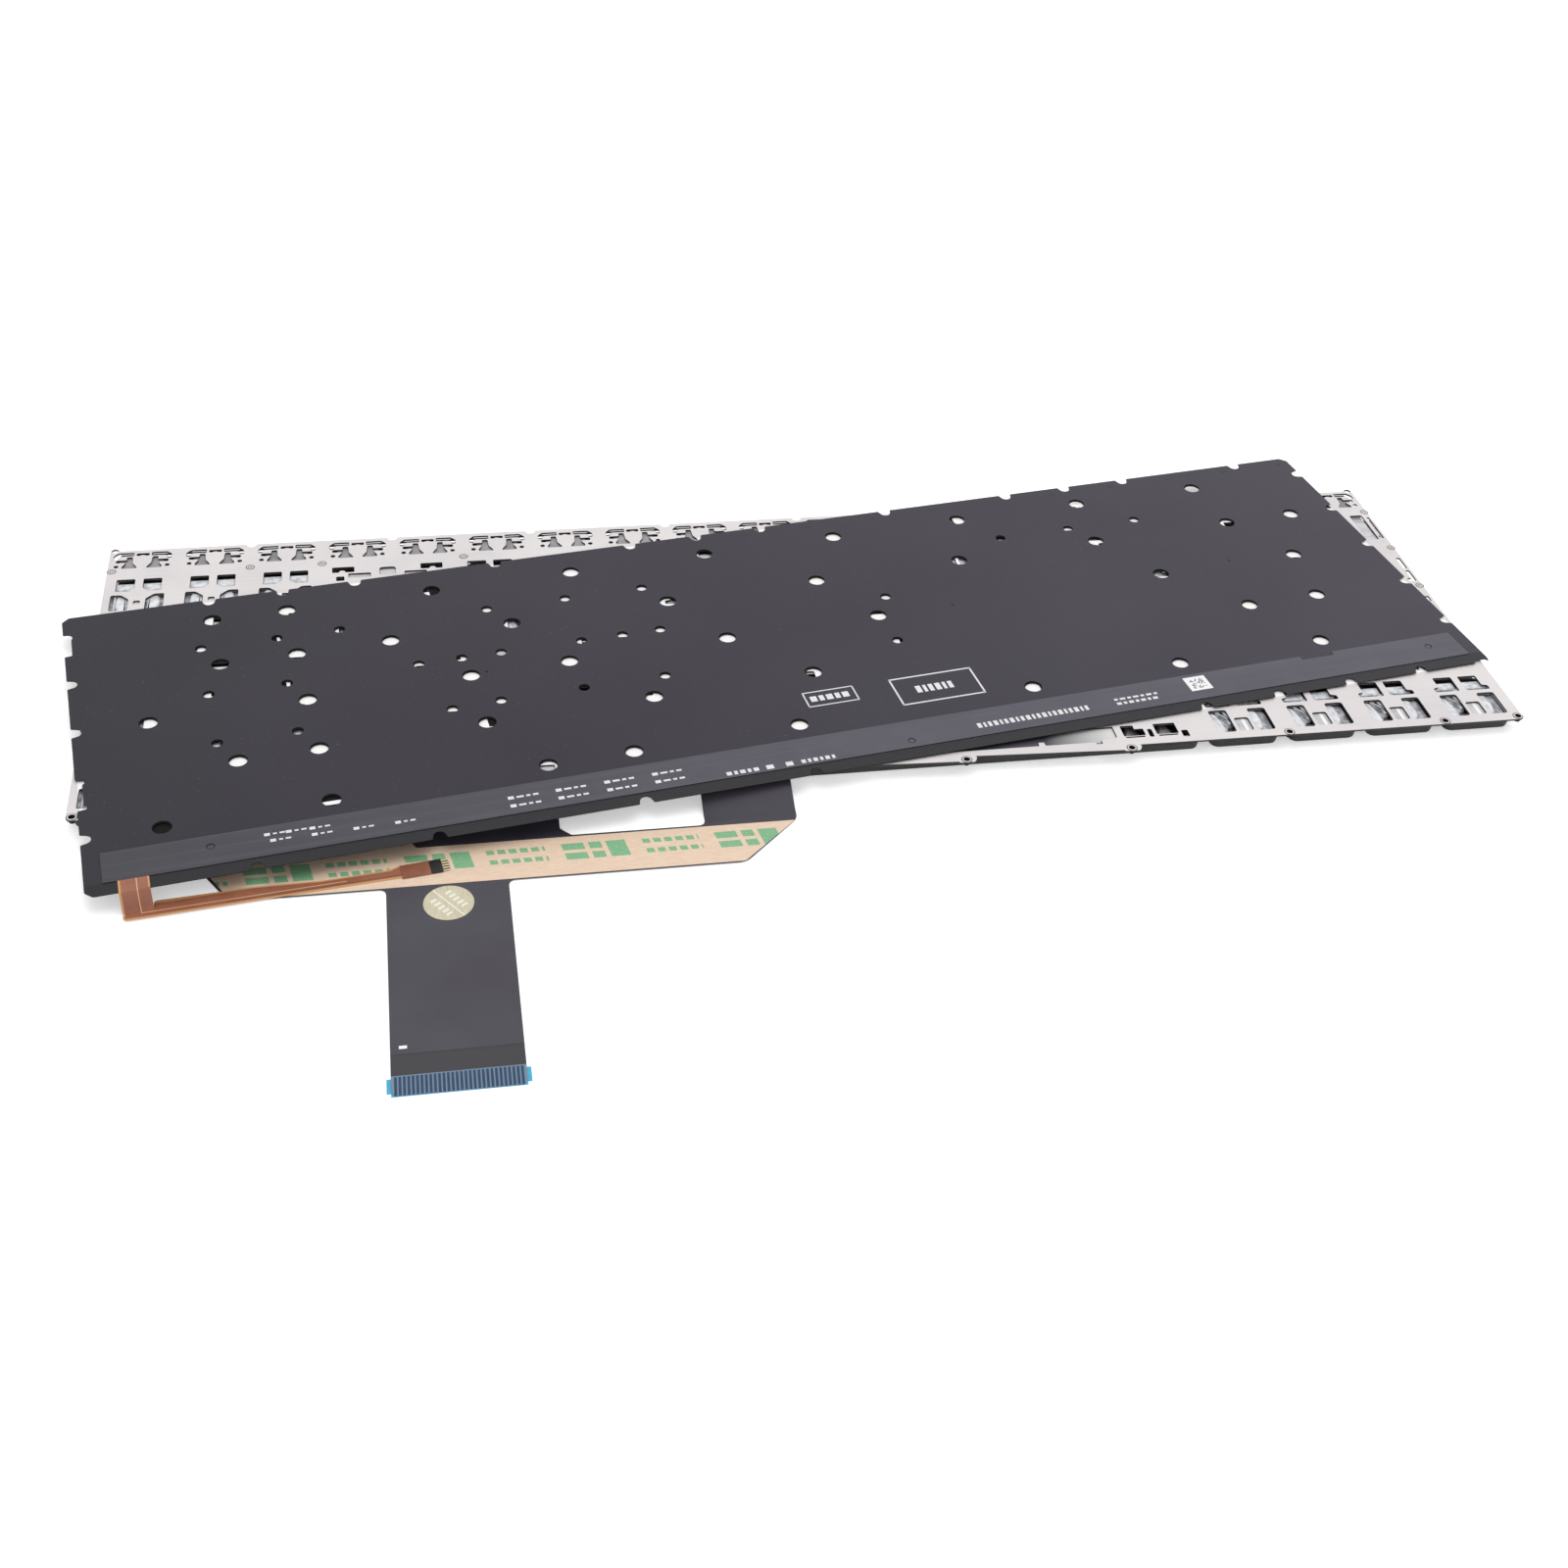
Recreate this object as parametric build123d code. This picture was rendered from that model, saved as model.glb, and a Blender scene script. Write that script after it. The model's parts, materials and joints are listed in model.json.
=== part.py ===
from build123d import *
import os
from collections import namedtuple
from math import atan2, cos, pi, sin, tan

# A laptop's replacement keyboard with its loose backlight panel, lying face down on its keys.
# Millimetres. X runs to the viewer's right, Y away from the viewer and Z up. While drawing, X and Y
# are counted from the support plate's near left corner. The last step moves everything so that the
# origin lies at the bottom centre of the whole.

# Key grid. Face down, the number pad is on the viewer's left and the function row is the far one.
KEY_PITCH = 19.3
ROW_PITCH = 18.4
ROW_COUNT = 5
PAD_PITCH = 17.33
PAD_COLUMN_COUNT = 3
FIRST_COLUMN = 8.0
PAD_GAP = 0.43
SIDE_MARGIN = 0.25
NEAR_MARGIN = 1.6
FAR_MARGIN = 0.6
FUNCTION_COUNT = 19
FUNCTION_DEPTH = 10.0

# Key widths in key units. The viewer's left key of each row takes what the row leaves.
BACKSPACE_UNITS = 1.6
BACKTICK_UNITS = 0.7
TAB_UNITS = 1.2
CAPS_LOCK_UNITS = 1.4
LEFT_SHIFT_UNITS = 1.9
NUMBER_KEY_COUNT = 12
LETTER_KEY_COUNT = 12
HOME_KEY_COUNT = 11
SHIFT_KEY_COUNT = 10
SPACE_LEFT_COUNT = 5
SPACE_RIGHT_COUNT = 4

# Keycaps, domes and scissor frames.
KEY_GAP = 3.6
ROW_GAP = 2.2
FUNCTION_GAP = 1.6
ARROW_GAP = 0.8
CAP_HEIGHT = 2.1
CAP_ROOF = 0.8
CAP_WALL = 0.9
CAP_CORNER = 1.2
CAP_DRAFT = 0.33
TRAVEL = 1.2
PRESS_CLEARANCE = 0.15
DOME_RADIUS = 3.2
ARROW_DOME_RADIUS = 1.9
DOME_SIDE_COUNT = 6
DOME_TOP = 1.6
ARROW_DOME_TOP = 1.2
SCISSOR_SIZE = 11.0
SCISSOR_BAR = 1.2
SCISSOR_HEIGHT = 0.8
ARROW_SCISSOR_DEPTH = 4.8
ARROW_SCISSOR_BAR = 0.5
LIFT_WIDTH = 9.0
LIFT_DEPTH = 8.0
FUNCTION_LIFT_DEPTH = 5.0
WIRE = 0.6
WIRE_ARM = 5.0
WIRE_CLEARANCE = 0.4

# Membrane and stamped support plate.
MEMBRANE_THICKNESS = 0.2
MEMBRANE_INSET = 2.6
PLATE_THICKNESS = 0.45
PLATE_CORNER = 1.2
SCREW_RADIUS = 0.6
SCREW_INSET = 1.2
FAR_SCREW_INSET = 0.3
LUG_RADIUS = 1.1
EAR_WIDTH = 5.2
EAR_TIP = 3.6
EAR_REACH = 1.9
EAR_HOLE = 0.65
EAR_HOLE_REACH = 0.8
EYELET_INSET = 1.3
EAR_STEP_COUNT = 2
EAR_FIRST_COUNT = 1
EYELET_COUNT = 2
EAR_COUNT = 5
EDGE_NOTCH_WIDTH = 2.6
EDGE_NOTCH_DEPTH = 1.3
EDGE_NOTCH_FIRST_COUNT = 2
EDGE_NOTCH_STEP_COUNT = 2
SEEN_FUNCTION_COUNT = 10

# Windows of the plate around a key's middle, as half a pair: from the middle line outwards, and
# from low to high.
Window = namedtuple("Window", "inner outer low high")
HOOK_UPPER = Window(inner=0.9, outer=5.5, low=1.8, high=6.6)
HOOK_FOOT_REACH = 6.7
HOOK_FOOT_HEIGHT = 1.0
HOOK_LOWER = Window(inner=2.7, outer=6.8, low=-7.4, high=-0.2)
HOOK_MIDDLE = Window(inner=-1.6, outer=1.6, low=-7.2, high=-3.2)
PAD_UPPER = Window(inner=1.0, outer=5.3, low=1.2, high=6.4)
PAD_LOWER = Window(inner=2.0, outer=6.2, low=-7.0, high=-0.4)
PAD_MIDDLE = Window(inner=-0.75, outer=0.75, low=-4.5, high=-3.1)
PAD_UPPER_CUT = 1.2
PAD_LOWER_CUT = 1.9
TOP_SLOT = Window(inner=2.2, outer=6.7, low=3.0, high=3.9)
TOP_MIDDLE = Window(inner=-1.5, outer=1.5, low=2.6, high=3.8)
BELL_TOP = Window(inner=2.4, outer=3.7, low=0.8, high=2.0)
BELL_FOOT = Window(inner=1.2, outer=4.7, low=-2.8, high=-0.4)
BELL_SIDE = 6.1
WIDE_MIDDLE = Window(inner=-1.95, outer=1.95, low=2.7, high=6.2)
WIDE_INNER = Window(inner=4.0, outer=9.8, low=2.2, high=4.2)
WIDE_WEB = 0.6
WIDE_OUTER_HEIGHT = 2.0
WIDE_OUTER = Window(inner=7.9, outer=13.2, low=WIDE_INNER.high + WIDE_WEB,
                    high=WIDE_INNER.high + WIDE_WEB + WIDE_OUTER_HEIGHT)
EDGE_WINDOW = Window(inner=1.2, outer=4.6, low=-5.0, high=7.0)
PLAIN_UPPER = Window(inner=-5.5, outer=5.5, low=1.8, high=6.6)
FUNCTION_PLAIN = Window(inner=-4.7, outer=4.7, low=-2.8, high=2.0)
SPACE_LONG = Window(inner=-29.6, outer=29.6, low=-8.4, high=-3.3)
SPACE_FIRST = 31.4
SPACE_WINDOW = 5.1
SPACE_SLOT = 1.0
SPACE_WEB = 0.9
SPACE_LOW = -7.7
SPACE_HEIGHT = 4.4
SPACE_SLOT_LOW = -7.8
SPACE_END_LOW = -8.8
SPACE_SLOT_HEIGHT = 2.8

# Backlight panel, lying loose: how far it has slid from its seat and turned.
PANEL_END_INSET = 0.4
PANEL_SIDE_INSET = 1.8
PANEL_CORNER = 1.6
PANEL_SLIDE_X = -3.2
PANEL_SLIDE_Y = -3.5
PANEL_TURN = 8.43
GUIDE_THICKNESS = 0.35
GUIDE_CLEARANCE = 0.3
FILM_THICKNESS = 0.12
POST_HOLE = 2.05
POST_HOLE_SIDE_COUNT = 6
VENT_HOLE = 1.2
VENT_HOLE_SIDE_COUNT = 6
VENT_SIDE = 5.0
VENT_LOW = 1.9
PANEL_NOTCH_WIDTH = 3.4
PANEL_NOTCH_DEPTH = 2.2
PANEL_NOTCH_CUT = 0.9
SIDE_CUT_WIDTH = 11.0
SIDE_CUT_DEPTH = 1.4
SIDE_CUT_LOW = 3.6

# LED strip on the panel, with the backlight tail that leaves it.
STRIP_FAR = 13.0
STRIP_NEAR = 3.6
STRIP_END_INSET = 3.6
STRIP_THICKNESS = 0.12
STRIP_NOTCH_X = 122.4
STRIP_NOTCH_WIDTH = 8.6
STRIP_NOTCH_DEPTH = 1.4
LED_COUNT = 8
LED_PITCH = 38.0
LED_LENGTH = 3.0
LED_DEPTH = 0.9
LED_CLEARANCE = 0.3
LED_FROM_EDGE = 5.0
LABEL_X = 88.5
LABEL_LENGTH = 5.6
LABEL_DEPTH = 5.2
LABEL_FROM_EDGE = 9.3
LABEL_THICKNESS = 0.06
TAIL_FROM_END = 6.5
TAIL_LEG_WIDTH = 6.1
TAIL_BEND_OUT = 0.15
TAIL_DROP_RUN = 1.8
TAIL_BEND = 0.35
TAIL_ARM_OUT = 4.0
TAIL_ARM_SLANT = 1.8
TAIL_ROOT_WIDTH = 4.7
TAIL_TAPER_LENGTH = 39.0
TAIL_WAIST_WIDTH = 3.0
TAIL_END_WIDTH = 3.8
TAIL_LENGTH = 65.0
TAIL_THICKNESS = 0.12
TAIL_CORNER = 1.2
TAIL_STIFFENER_LENGTH = 8.5
TAIL_STIFFENER_WIDTH = 4.1
TAIL_STIFFENER_THICKNESS = 0.12
TAIL_CONTACT_LENGTH = 1.5
TAIL_CONTACT_WIDTH = 0.45
TAIL_CONTACT_PITCH = 0.8
TAIL_CONTACT_COUNT = 5

# Main flat cable, in distances from the plate's left end and from its near edge.
CABLE_THICKNESS = 0.12
RIGHT_NECK_X = 142.35
RIGHT_NECK_WIDTH = 20.1
LEFT_NECK_X = 88.6
LEFT_NECK_WIDTH = 25.4
NECK_FLARE = 2.3
BAR_TOP = 11.8
BAR_WIDTH = 12.8
BAR_LEFT = 25.5
BAR_LEFT_CUT = 8.0
BAR_RIGHT_CUT = 13.2
CABLE_TAIL_X = 77.05
CABLE_TAIL_WIDTH = 24.9
CABLE_TAIL_LENGTH = 56.4
CABLE_INNER_CORNER = 2.2
CABLE_DROP_RUN = 10.5
LINER_INSET = 0.6
LINER_THICKNESS = 0.08
STICKER_RADIUS = 5.15
STICKER_FROM_BAR = 5.5
STICKER_THICKNESS = 0.06
STIFFENER_LENGTH = 10.0
STIFFENER_EAR = 0.8
STIFFENER_EAR_LENGTH = 3.5
STIFFENER_EAR_FROM_END = 0.8
STIFFENER_THICKNESS = 0.2
CONTACT_COUNT = 30
CONTACT_PITCH = 0.8
CONTACT_WIDTH = 0.5
CONTACT_LENGTH = 4.6
CONTACT_THICKNESS = 0.04

# Values that follow from the ones above.
MAIN_UNITS = BACKSPACE_UNITS + NUMBER_KEY_COUNT + BACKTICK_UNITS
NUMBER_ROW = (BACKSPACE_UNITS,) + NUMBER_KEY_COUNT * (1.0,) + (BACKTICK_UNITS,)
LETTER_ROW = (MAIN_UNITS - LETTER_KEY_COUNT - TAB_UNITS,) + LETTER_KEY_COUNT * (1.0,) + (TAB_UNITS,)
HOME_ROW = (MAIN_UNITS - HOME_KEY_COUNT - CAPS_LOCK_UNITS,) + HOME_KEY_COUNT * (1.0,) + (CAPS_LOCK_UNITS,)
RIGHT_SHIFT_UNITS = MAIN_UNITS - SHIFT_KEY_COUNT - LEFT_SHIFT_UNITS
SHIFT_ROW = (RIGHT_SHIFT_UNITS,) + SHIFT_KEY_COUNT * (1.0,) + (LEFT_SHIFT_UNITS,)
SPACE_UNITS = MAIN_UNITS - SPACE_LEFT_COUNT - SPACE_RIGHT_COUNT
BOTTOM_ROW = SPACE_LEFT_COUNT * (1.0,) + (SPACE_UNITS,) + SPACE_RIGHT_COUNT * (1.0,)
MAIN_LEFT = FIRST_COLUMN + (PAD_COLUMN_COUNT - 0.5) * PAD_PITCH + PAD_GAP
MAIN_RIGHT = MAIN_LEFT + MAIN_UNITS * KEY_PITCH
PLATE_LENGTH = MAIN_RIGHT + SIDE_MARGIN
KEYS_FAR = NEAR_MARGIN + ROW_COUNT * ROW_PITCH
PLATE_DEPTH = KEYS_FAR + FUNCTION_DEPTH + FAR_MARGIN
FUNCTION_PITCH = (PLATE_LENGTH - 2 * FIRST_COLUMN) / (FUNCTION_COUNT - 1)
FUNCTION_Y = KEYS_FAR + FUNCTION_DEPTH / 2
MEMBRANE_Z = CAP_HEIGHT + TRAVEL + PRESS_CLEARANCE
PLATE_Z = MEMBRANE_Z + MEMBRANE_THICKNESS
GUIDE_Z = PLATE_Z + PLATE_THICKNESS
FILM_Z = GUIDE_Z + GUIDE_THICKNESS
STRIP_Z = FILM_Z + FILM_THICKNESS
PANEL_LENGTH = PLATE_LENGTH - 2 * PANEL_END_INSET
PANEL_DEPTH = PLATE_DEPTH - 2 * PANEL_SIDE_INSET
CABLE_Z = STIFFENER_THICKNESS
LINER_Z = CABLE_Z + CABLE_THICKNESS
TAIL_LOW_Z = LINER_Z + LINER_THICKNESS

HOME_NAMES = ("enter_key", "apostrophe_key", "semicolon_key", "l_key", "k_key", "j_key", "h_key",
              "g_key", "f_key", "d_key", "s_key", "a_key", "caps_lock_key")
SHIFT_NAMES = ("right_shift_key", "slash_key", "full_stop_key", "comma_key", "m_key", "n_key", "b_key",
               "v_key", "c_key", "x_key", "z_key", "left_shift_key")
BOTTOM_NAMES = ("right_arrow_key", "arrow_pair", "left_arrow_key", "right_control_key", "right_alt_key",
                "space_bar", "left_alt_key", "system_key", "fn_key", "left_control_key")

Key = namedtuple("Key", "name x y width depth")


def row_y(index):
    return NEAR_MARGIN + (index + 0.5) * ROW_PITCH


def boundary(row, index):
    return MAIN_LEFT + sum(row[:index]) * KEY_PITCH


def row_keys(row, index, names):
    keys = []
    for i, units in enumerate(row):
        middle = (boundary(row, i) + boundary(row, i + 1)) / 2
        keys.append(Key(names[i], middle, row_y(index), units * KEY_PITCH - KEY_GAP, ROW_PITCH - ROW_GAP))
    return keys


def plain_names(row, name):
    return [f"{name}_{i + 1}" for i in range(len(row))]


def column_x(index):
    return FIRST_COLUMN + index * PAD_PITCH


def function_x(index):
    return FIRST_COLUMN + index * FUNCTION_PITCH


# All keys, row by row from the viewer's side.
bottom_keys = row_keys(BOTTOM_ROW, 0, BOTTOM_NAMES)
shift_keys = row_keys(SHIFT_ROW, 1, SHIFT_NAMES)
home_keys = row_keys(HOME_ROW, 2, HOME_NAMES)
letter_keys = row_keys(LETTER_ROW, 3, plain_names(LETTER_ROW, "letter"))
number_keys = row_keys(NUMBER_ROW, 4, plain_names(NUMBER_ROW, "number"))
pad_keys = []
for row_index in range(ROW_COUNT):
    for column_index in range(PAD_COLUMN_COUNT):
        pad_keys.append(Key("pad", column_x(column_index), row_y(row_index),
                            PAD_PITCH - KEY_GAP, ROW_PITCH - ROW_GAP))
function_keys = []
for column_index in range(FUNCTION_COUNT):
    function_keys.append(Key("function", function_x(column_index), FUNCTION_Y,
                             FUNCTION_PITCH - KEY_GAP, FUNCTION_DEPTH - FUNCTION_GAP))

# The arrow pair is two half keys, one above the other.
moving_keys = []
arrow_depth = (ROW_PITCH - ROW_GAP - ARROW_GAP) / 2
arrow_step = (arrow_depth + ARROW_GAP) / 2
for key in bottom_keys:
    if key.name == "arrow_pair":
        moving_keys.append(key._replace(name="up_arrow_key", y=key.y + arrow_step, depth=arrow_depth))
        moving_keys.append(key._replace(name="down_arrow_key", y=key.y - arrow_step, depth=arrow_depth))
    else:
        moving_keys.append(key)
moving_keys = moving_keys + shift_keys + home_keys
space_key = [key for key in moving_keys if key.name == "space_bar"][0]


def block(x0, x1, y0, y1, z0, z1):
    middle = ((x0 + x1) / 2, (y0 + y1) / 2, (z0 + z1) / 2)
    return Pos(*middle) * Box(x1 - x0, y1 - y0, z1 - z0)


def polygon_face(points):
    return Face(Wire.make_polygon(points, close=True))


def frustum(low_points, low_z, high_points, high_z):
    # A solid with flat tapered sides between two outlines that have the same number of corners.
    low = [(x, y, low_z) for x, y in low_points]
    high = [(x, y, high_z) for x, y in high_points]
    faces = [polygon_face(low), polygon_face(high)]
    for i in range(len(low)):
        j = (i + 1) % len(low)
        faces.append(polygon_face([low[i], low[j], high[j], high[i]]))
    return Solid(Shell(faces))


def cut_corners(width, depth, cut):
    x = width / 2
    y = depth / 2
    return [(x - cut, -y), (x, cut - y), (x, y - cut), (x - cut, y),
            (cut - x, y), (-x, y - cut), (-x, cut - y), (cut - x, -y)]


def cap_body(width, depth):
    draft = 2 * CAP_DRAFT
    face = cut_corners(width - draft, depth - draft, CAP_CORNER)
    return frustum(face, 0, cut_corners(width, depth, CAP_CORNER), CAP_HEIGHT)


def rectangle_points(width, depth):
    x = width / 2
    y = depth / 2
    return [(-x, -y), (x, -y), (x, y), (-x, y)]


def hollow_cap(width, depth):
    hollow_x = width / 2 - CAP_WALL
    hollow_y = depth / 2 - CAP_WALL
    return cap_body(width, depth) - block(-hollow_x, hollow_x, -hollow_y, hollow_y, CAP_ROOF, CAP_HEIGHT)


def fixed_cap(width, depth, lift_depth):
    lift = block(-LIFT_WIDTH / 2, LIFT_WIDTH / 2, -lift_depth / 2, lift_depth / 2, CAP_HEIGHT, MEMBRANE_Z)
    face = rectangle_points(width - 2 * CAP_DRAFT, depth - 2 * CAP_DRAFT)
    return frustum(face, 0, rectangle_points(width, depth), CAP_HEIGHT) + lift


def ring_points(radius, sides):
    return [(radius * cos(2 * pi * i / sides), radius * sin(2 * pi * i / sides)) for i in range(sides)]


def dome(foot, top):
    top_ring = ring_points(top, DOME_SIDE_COUNT)
    return frustum(top_ring, CAP_ROOF, ring_points(foot, DOME_SIDE_COUNT), MEMBRANE_Z)


def scissor(depth, bar):
    frame = Rectangle(SCISSOR_SIZE, depth) - Rectangle(SCISSOR_SIZE - 2 * bar, depth - 2 * bar)
    return Pos(0, 0, MEMBRANE_Z - SCISSOR_HEIGHT) * extrude(frame, amount=SCISSOR_HEIGHT)


def placed(shape, key):
    return Pos(key.x, key.y, 0) * shape


def outline_of(points, x=0.0, y=0.0):
    # A closed outline that always runs the same way round, so that it cuts and never adds.
    turns = zip(points, points[1:] + points[:1])
    area = sum(a[0] * b[1] - b[0] * a[1] for a, b in turns)
    ordered = points if area > 0 else points[::-1]
    return Wire.make_polygon([(px + x, py + y, 0) for px, py in ordered], close=True)


def corners(window):
    return [(window.inner, window.low), (window.outer, window.low),
            (window.outer, window.high), (window.inner, window.high)]


def single(points, key):
    return [outline_of(points, key.x, key.y)]


def pair(points, key):
    mirrored = [(-px, py) for px, py in points]
    return [outline_of(points, key.x, key.y), outline_of(mirrored, key.x, key.y)]


def hook_windows(key):
    upper = [(HOOK_UPPER.inner, HOOK_UPPER.low), (HOOK_FOOT_REACH, HOOK_UPPER.low),
             (HOOK_FOOT_REACH, HOOK_UPPER.low + HOOK_FOOT_HEIGHT),
             (HOOK_UPPER.outer, HOOK_UPPER.low + HOOK_FOOT_HEIGHT),
             (HOOK_UPPER.outer, HOOK_UPPER.high), (HOOK_UPPER.inner, HOOK_UPPER.high)]
    return pair(upper, key) + pair(corners(HOOK_LOWER), key) + single(corners(HOOK_MIDDLE), key)


def pad_windows(key):
    upper = [(PAD_UPPER.inner + PAD_UPPER_CUT, PAD_UPPER.low), (PAD_UPPER.outer, PAD_UPPER.low),
             (PAD_UPPER.outer, PAD_UPPER.high), (PAD_UPPER.inner, PAD_UPPER.high),
             (PAD_UPPER.inner, PAD_UPPER.low + PAD_UPPER_CUT)]
    lower = [(PAD_LOWER.inner, PAD_LOWER.low), (PAD_LOWER.outer, PAD_LOWER.low),
             (PAD_LOWER.outer, PAD_LOWER.high), (PAD_LOWER.inner + PAD_LOWER_CUT, PAD_LOWER.high),
             (PAD_LOWER.inner, PAD_LOWER.high - PAD_LOWER_CUT)]
    return pair(upper, key) + pair(lower, key) + single(corners(PAD_MIDDLE), key)


def function_windows(key):
    bell = [(BELL_TOP.inner, BELL_TOP.high), (BELL_TOP.outer, BELL_TOP.high),
            (BELL_TOP.outer, BELL_TOP.low), (BELL_SIDE, BELL_TOP.low), (BELL_SIDE, BELL_FOOT.high),
            (BELL_TOP.outer, BELL_FOOT.high), (BELL_FOOT.outer, BELL_FOOT.low),
            (BELL_FOOT.inner, BELL_FOOT.low)]
    return pair(corners(TOP_SLOT), key) + pair(bell, key) + single(corners(TOP_MIDDLE), key)


def wide_windows(key):
    return (single(corners(WIDE_MIDDLE), key) + pair(corners(WIDE_INNER), key)
            + pair(corners(WIDE_OUTER), key))


def space_windows(key):
    slot_x = SPACE_FIRST + SPACE_WINDOW + SPACE_WEB
    outer_x = slot_x + SPACE_SLOT + SPACE_WEB
    high = SPACE_LOW + SPACE_HEIGHT
    inner = Window(SPACE_FIRST, SPACE_FIRST + SPACE_WINDOW, SPACE_LOW, high)
    slot = Window(slot_x, slot_x + SPACE_SLOT, SPACE_SLOT_LOW, SPACE_SLOT_LOW + SPACE_SLOT_HEIGHT)
    outer = Window(outer_x, outer_x + SPACE_WINDOW, SPACE_LOW, high)
    end_x = outer.outer + SPACE_WEB
    end = Window(end_x, end_x + SPACE_SLOT, SPACE_END_LOW, SPACE_END_LOW + SPACE_SLOT_HEIGHT)
    windows = single(corners(SPACE_LONG), key) + single(corners(PLAIN_UPPER), key)
    for window in (inner, slot, outer, end):
        windows += pair(corners(window), key)
    return windows


def plain_window(key):
    return single(corners(PLAIN_UPPER), key)


def sheet(outline, holes, z, thickness):
    face = Face(outline, holes)
    return Pos(0, 0, z) * Solid.extrude(face, Vector(0, 0, thickness))


def regular_hole(x, y, radius, sides):
    hole = Pos(x, y) * RegularPolygon(radius, sides)
    return hole.face().outer_wire()


def round_hole(x, y, radius):
    hole = Pos(x, y) * Circle(radius)
    return hole.face().outer_wire()


# Support plate. The four corner holes carry the screws; keys that the panel covers get one window.
screw_points = [(SCREW_INSET, SCREW_INSET), (PLATE_LENGTH - SCREW_INSET, SCREW_INSET),
                (SCREW_INSET, PLATE_DEPTH - FAR_SCREW_INSET),
                (PLATE_LENGTH - SCREW_INSET, PLATE_DEPTH - FAR_SCREW_INSET)]
blank = Pos(PLATE_LENGTH / 2, PLATE_DEPTH / 2) * Rectangle(PLATE_LENGTH, PLATE_DEPTH)
near_corners = blank.vertices().sort_by(Axis.Y)[:2]
blank = fillet(near_corners, PLATE_CORNER)
for x, y in screw_points[2:]:
    blank = blank + Pos(x, y) * Circle(LUG_RADIUS)
ear_points = []
for index in range(EYELET_COUNT + EAR_COUNT):
    ear_x = MAIN_RIGHT - (EAR_FIRST_COUNT + index * EAR_STEP_COUNT) * KEY_PITCH
    if index < EYELET_COUNT:
        ear_points.append((ear_x, EYELET_INSET))
    else:
        ear = Polyline((ear_x - EAR_WIDTH / 2, 0), (ear_x - EAR_TIP / 2, -EAR_REACH),
                       (ear_x + EAR_TIP / 2, -EAR_REACH), (ear_x + EAR_WIDTH / 2, 0), close=True)
        blank = blank + make_face(ear)
        ear_points.append((ear_x, -EAR_HOLE_REACH))
for index in range(EDGE_NOTCH_FIRST_COUNT, FUNCTION_COUNT, EDGE_NOTCH_STEP_COUNT):
    notch_x = function_x(index) - FUNCTION_PITCH / 2
    blank = blank - Pos(notch_x, PLATE_DEPTH) * Rectangle(EDGE_NOTCH_WIDTH, 2 * EDGE_NOTCH_DEPTH)

windows = []
for index, key in enumerate(function_keys):
    seen = index < SEEN_FUNCTION_COUNT or index == FUNCTION_COUNT - 1
    windows += function_windows(key) if seen else single(corners(FUNCTION_PLAIN), key)
for key in pad_keys:
    windows += pad_windows(key) if key.y > row_y(ROW_COUNT - 1) - 1 else plain_window(key)
for row in (number_keys, letter_keys, home_keys, shift_keys):
    for key in row[1:-1]:
        windows += plain_window(key)
windows += wide_windows(number_keys[0])
for key in (letter_keys[0], home_keys[0], shift_keys[0], shift_keys[-1]):
    windows += plain_window(key)
for key in (number_keys[-1], letter_keys[-1], home_keys[-1]):
    windows += single(corners(EDGE_WINDOW), key)
for key in bottom_keys:
    if key.name == "space_bar":
        windows += space_windows(key)
    elif key.x > space_key.x:
        windows += hook_windows(key)
    else:
        windows += plain_window(key)
windows += [round_hole(x, y, SCREW_RADIUS) for x, y in screw_points]
windows += [regular_hole(x, y, EAR_HOLE, VENT_HOLE_SIDE_COUNT) for x, y in ear_points]
support_plate = sheet(blank.face().outer_wire(), windows, PLATE_Z, PLATE_THICKNESS)

switch_membrane = block(MEMBRANE_INSET, PLATE_LENGTH - MEMBRANE_INSET, MEMBRANE_INSET,
                        PLATE_DEPTH - MEMBRANE_INSET, MEMBRANE_Z, PLATE_Z)

# Keys. Those of the three near rows move; the others are fused with the lifts that carry them.
parts = {}
domes = []
scissors = []
for key in moving_keys:
    half = key.depth < ROW_PITCH / 2
    parts[key.name] = placed(hollow_cap(key.width, key.depth), key)
    domes.append(placed(dome(ARROW_DOME_RADIUS, ARROW_DOME_TOP) if half
                        else dome(DOME_RADIUS, DOME_TOP), key))
    scissors.append(placed(scissor(ARROW_SCISSOR_DEPTH, ARROW_SCISSOR_BAR) if half
                           else scissor(SCISSOR_SIZE, SCISSOR_BAR), key))


def fixed_group(keys, lift_depth):
    return Compound([placed(fixed_cap(key.width, key.depth, lift_depth), key).solid() for key in keys])


parts["letter_row_keys"] = fixed_group(letter_keys, LIFT_DEPTH)
parts["number_row_keys"] = fixed_group(number_keys, LIFT_DEPTH)
parts["number_pad_keys"] = fixed_group(pad_keys, LIFT_DEPTH)
parts["function_row_keys"] = fixed_group(function_keys, FUNCTION_LIFT_DEPTH)
parts["rubber_domes"] = Compound([shape.solid() for shape in domes])
parts["scissor_frames"] = Compound([shape.solid() for shape in scissors])

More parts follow.
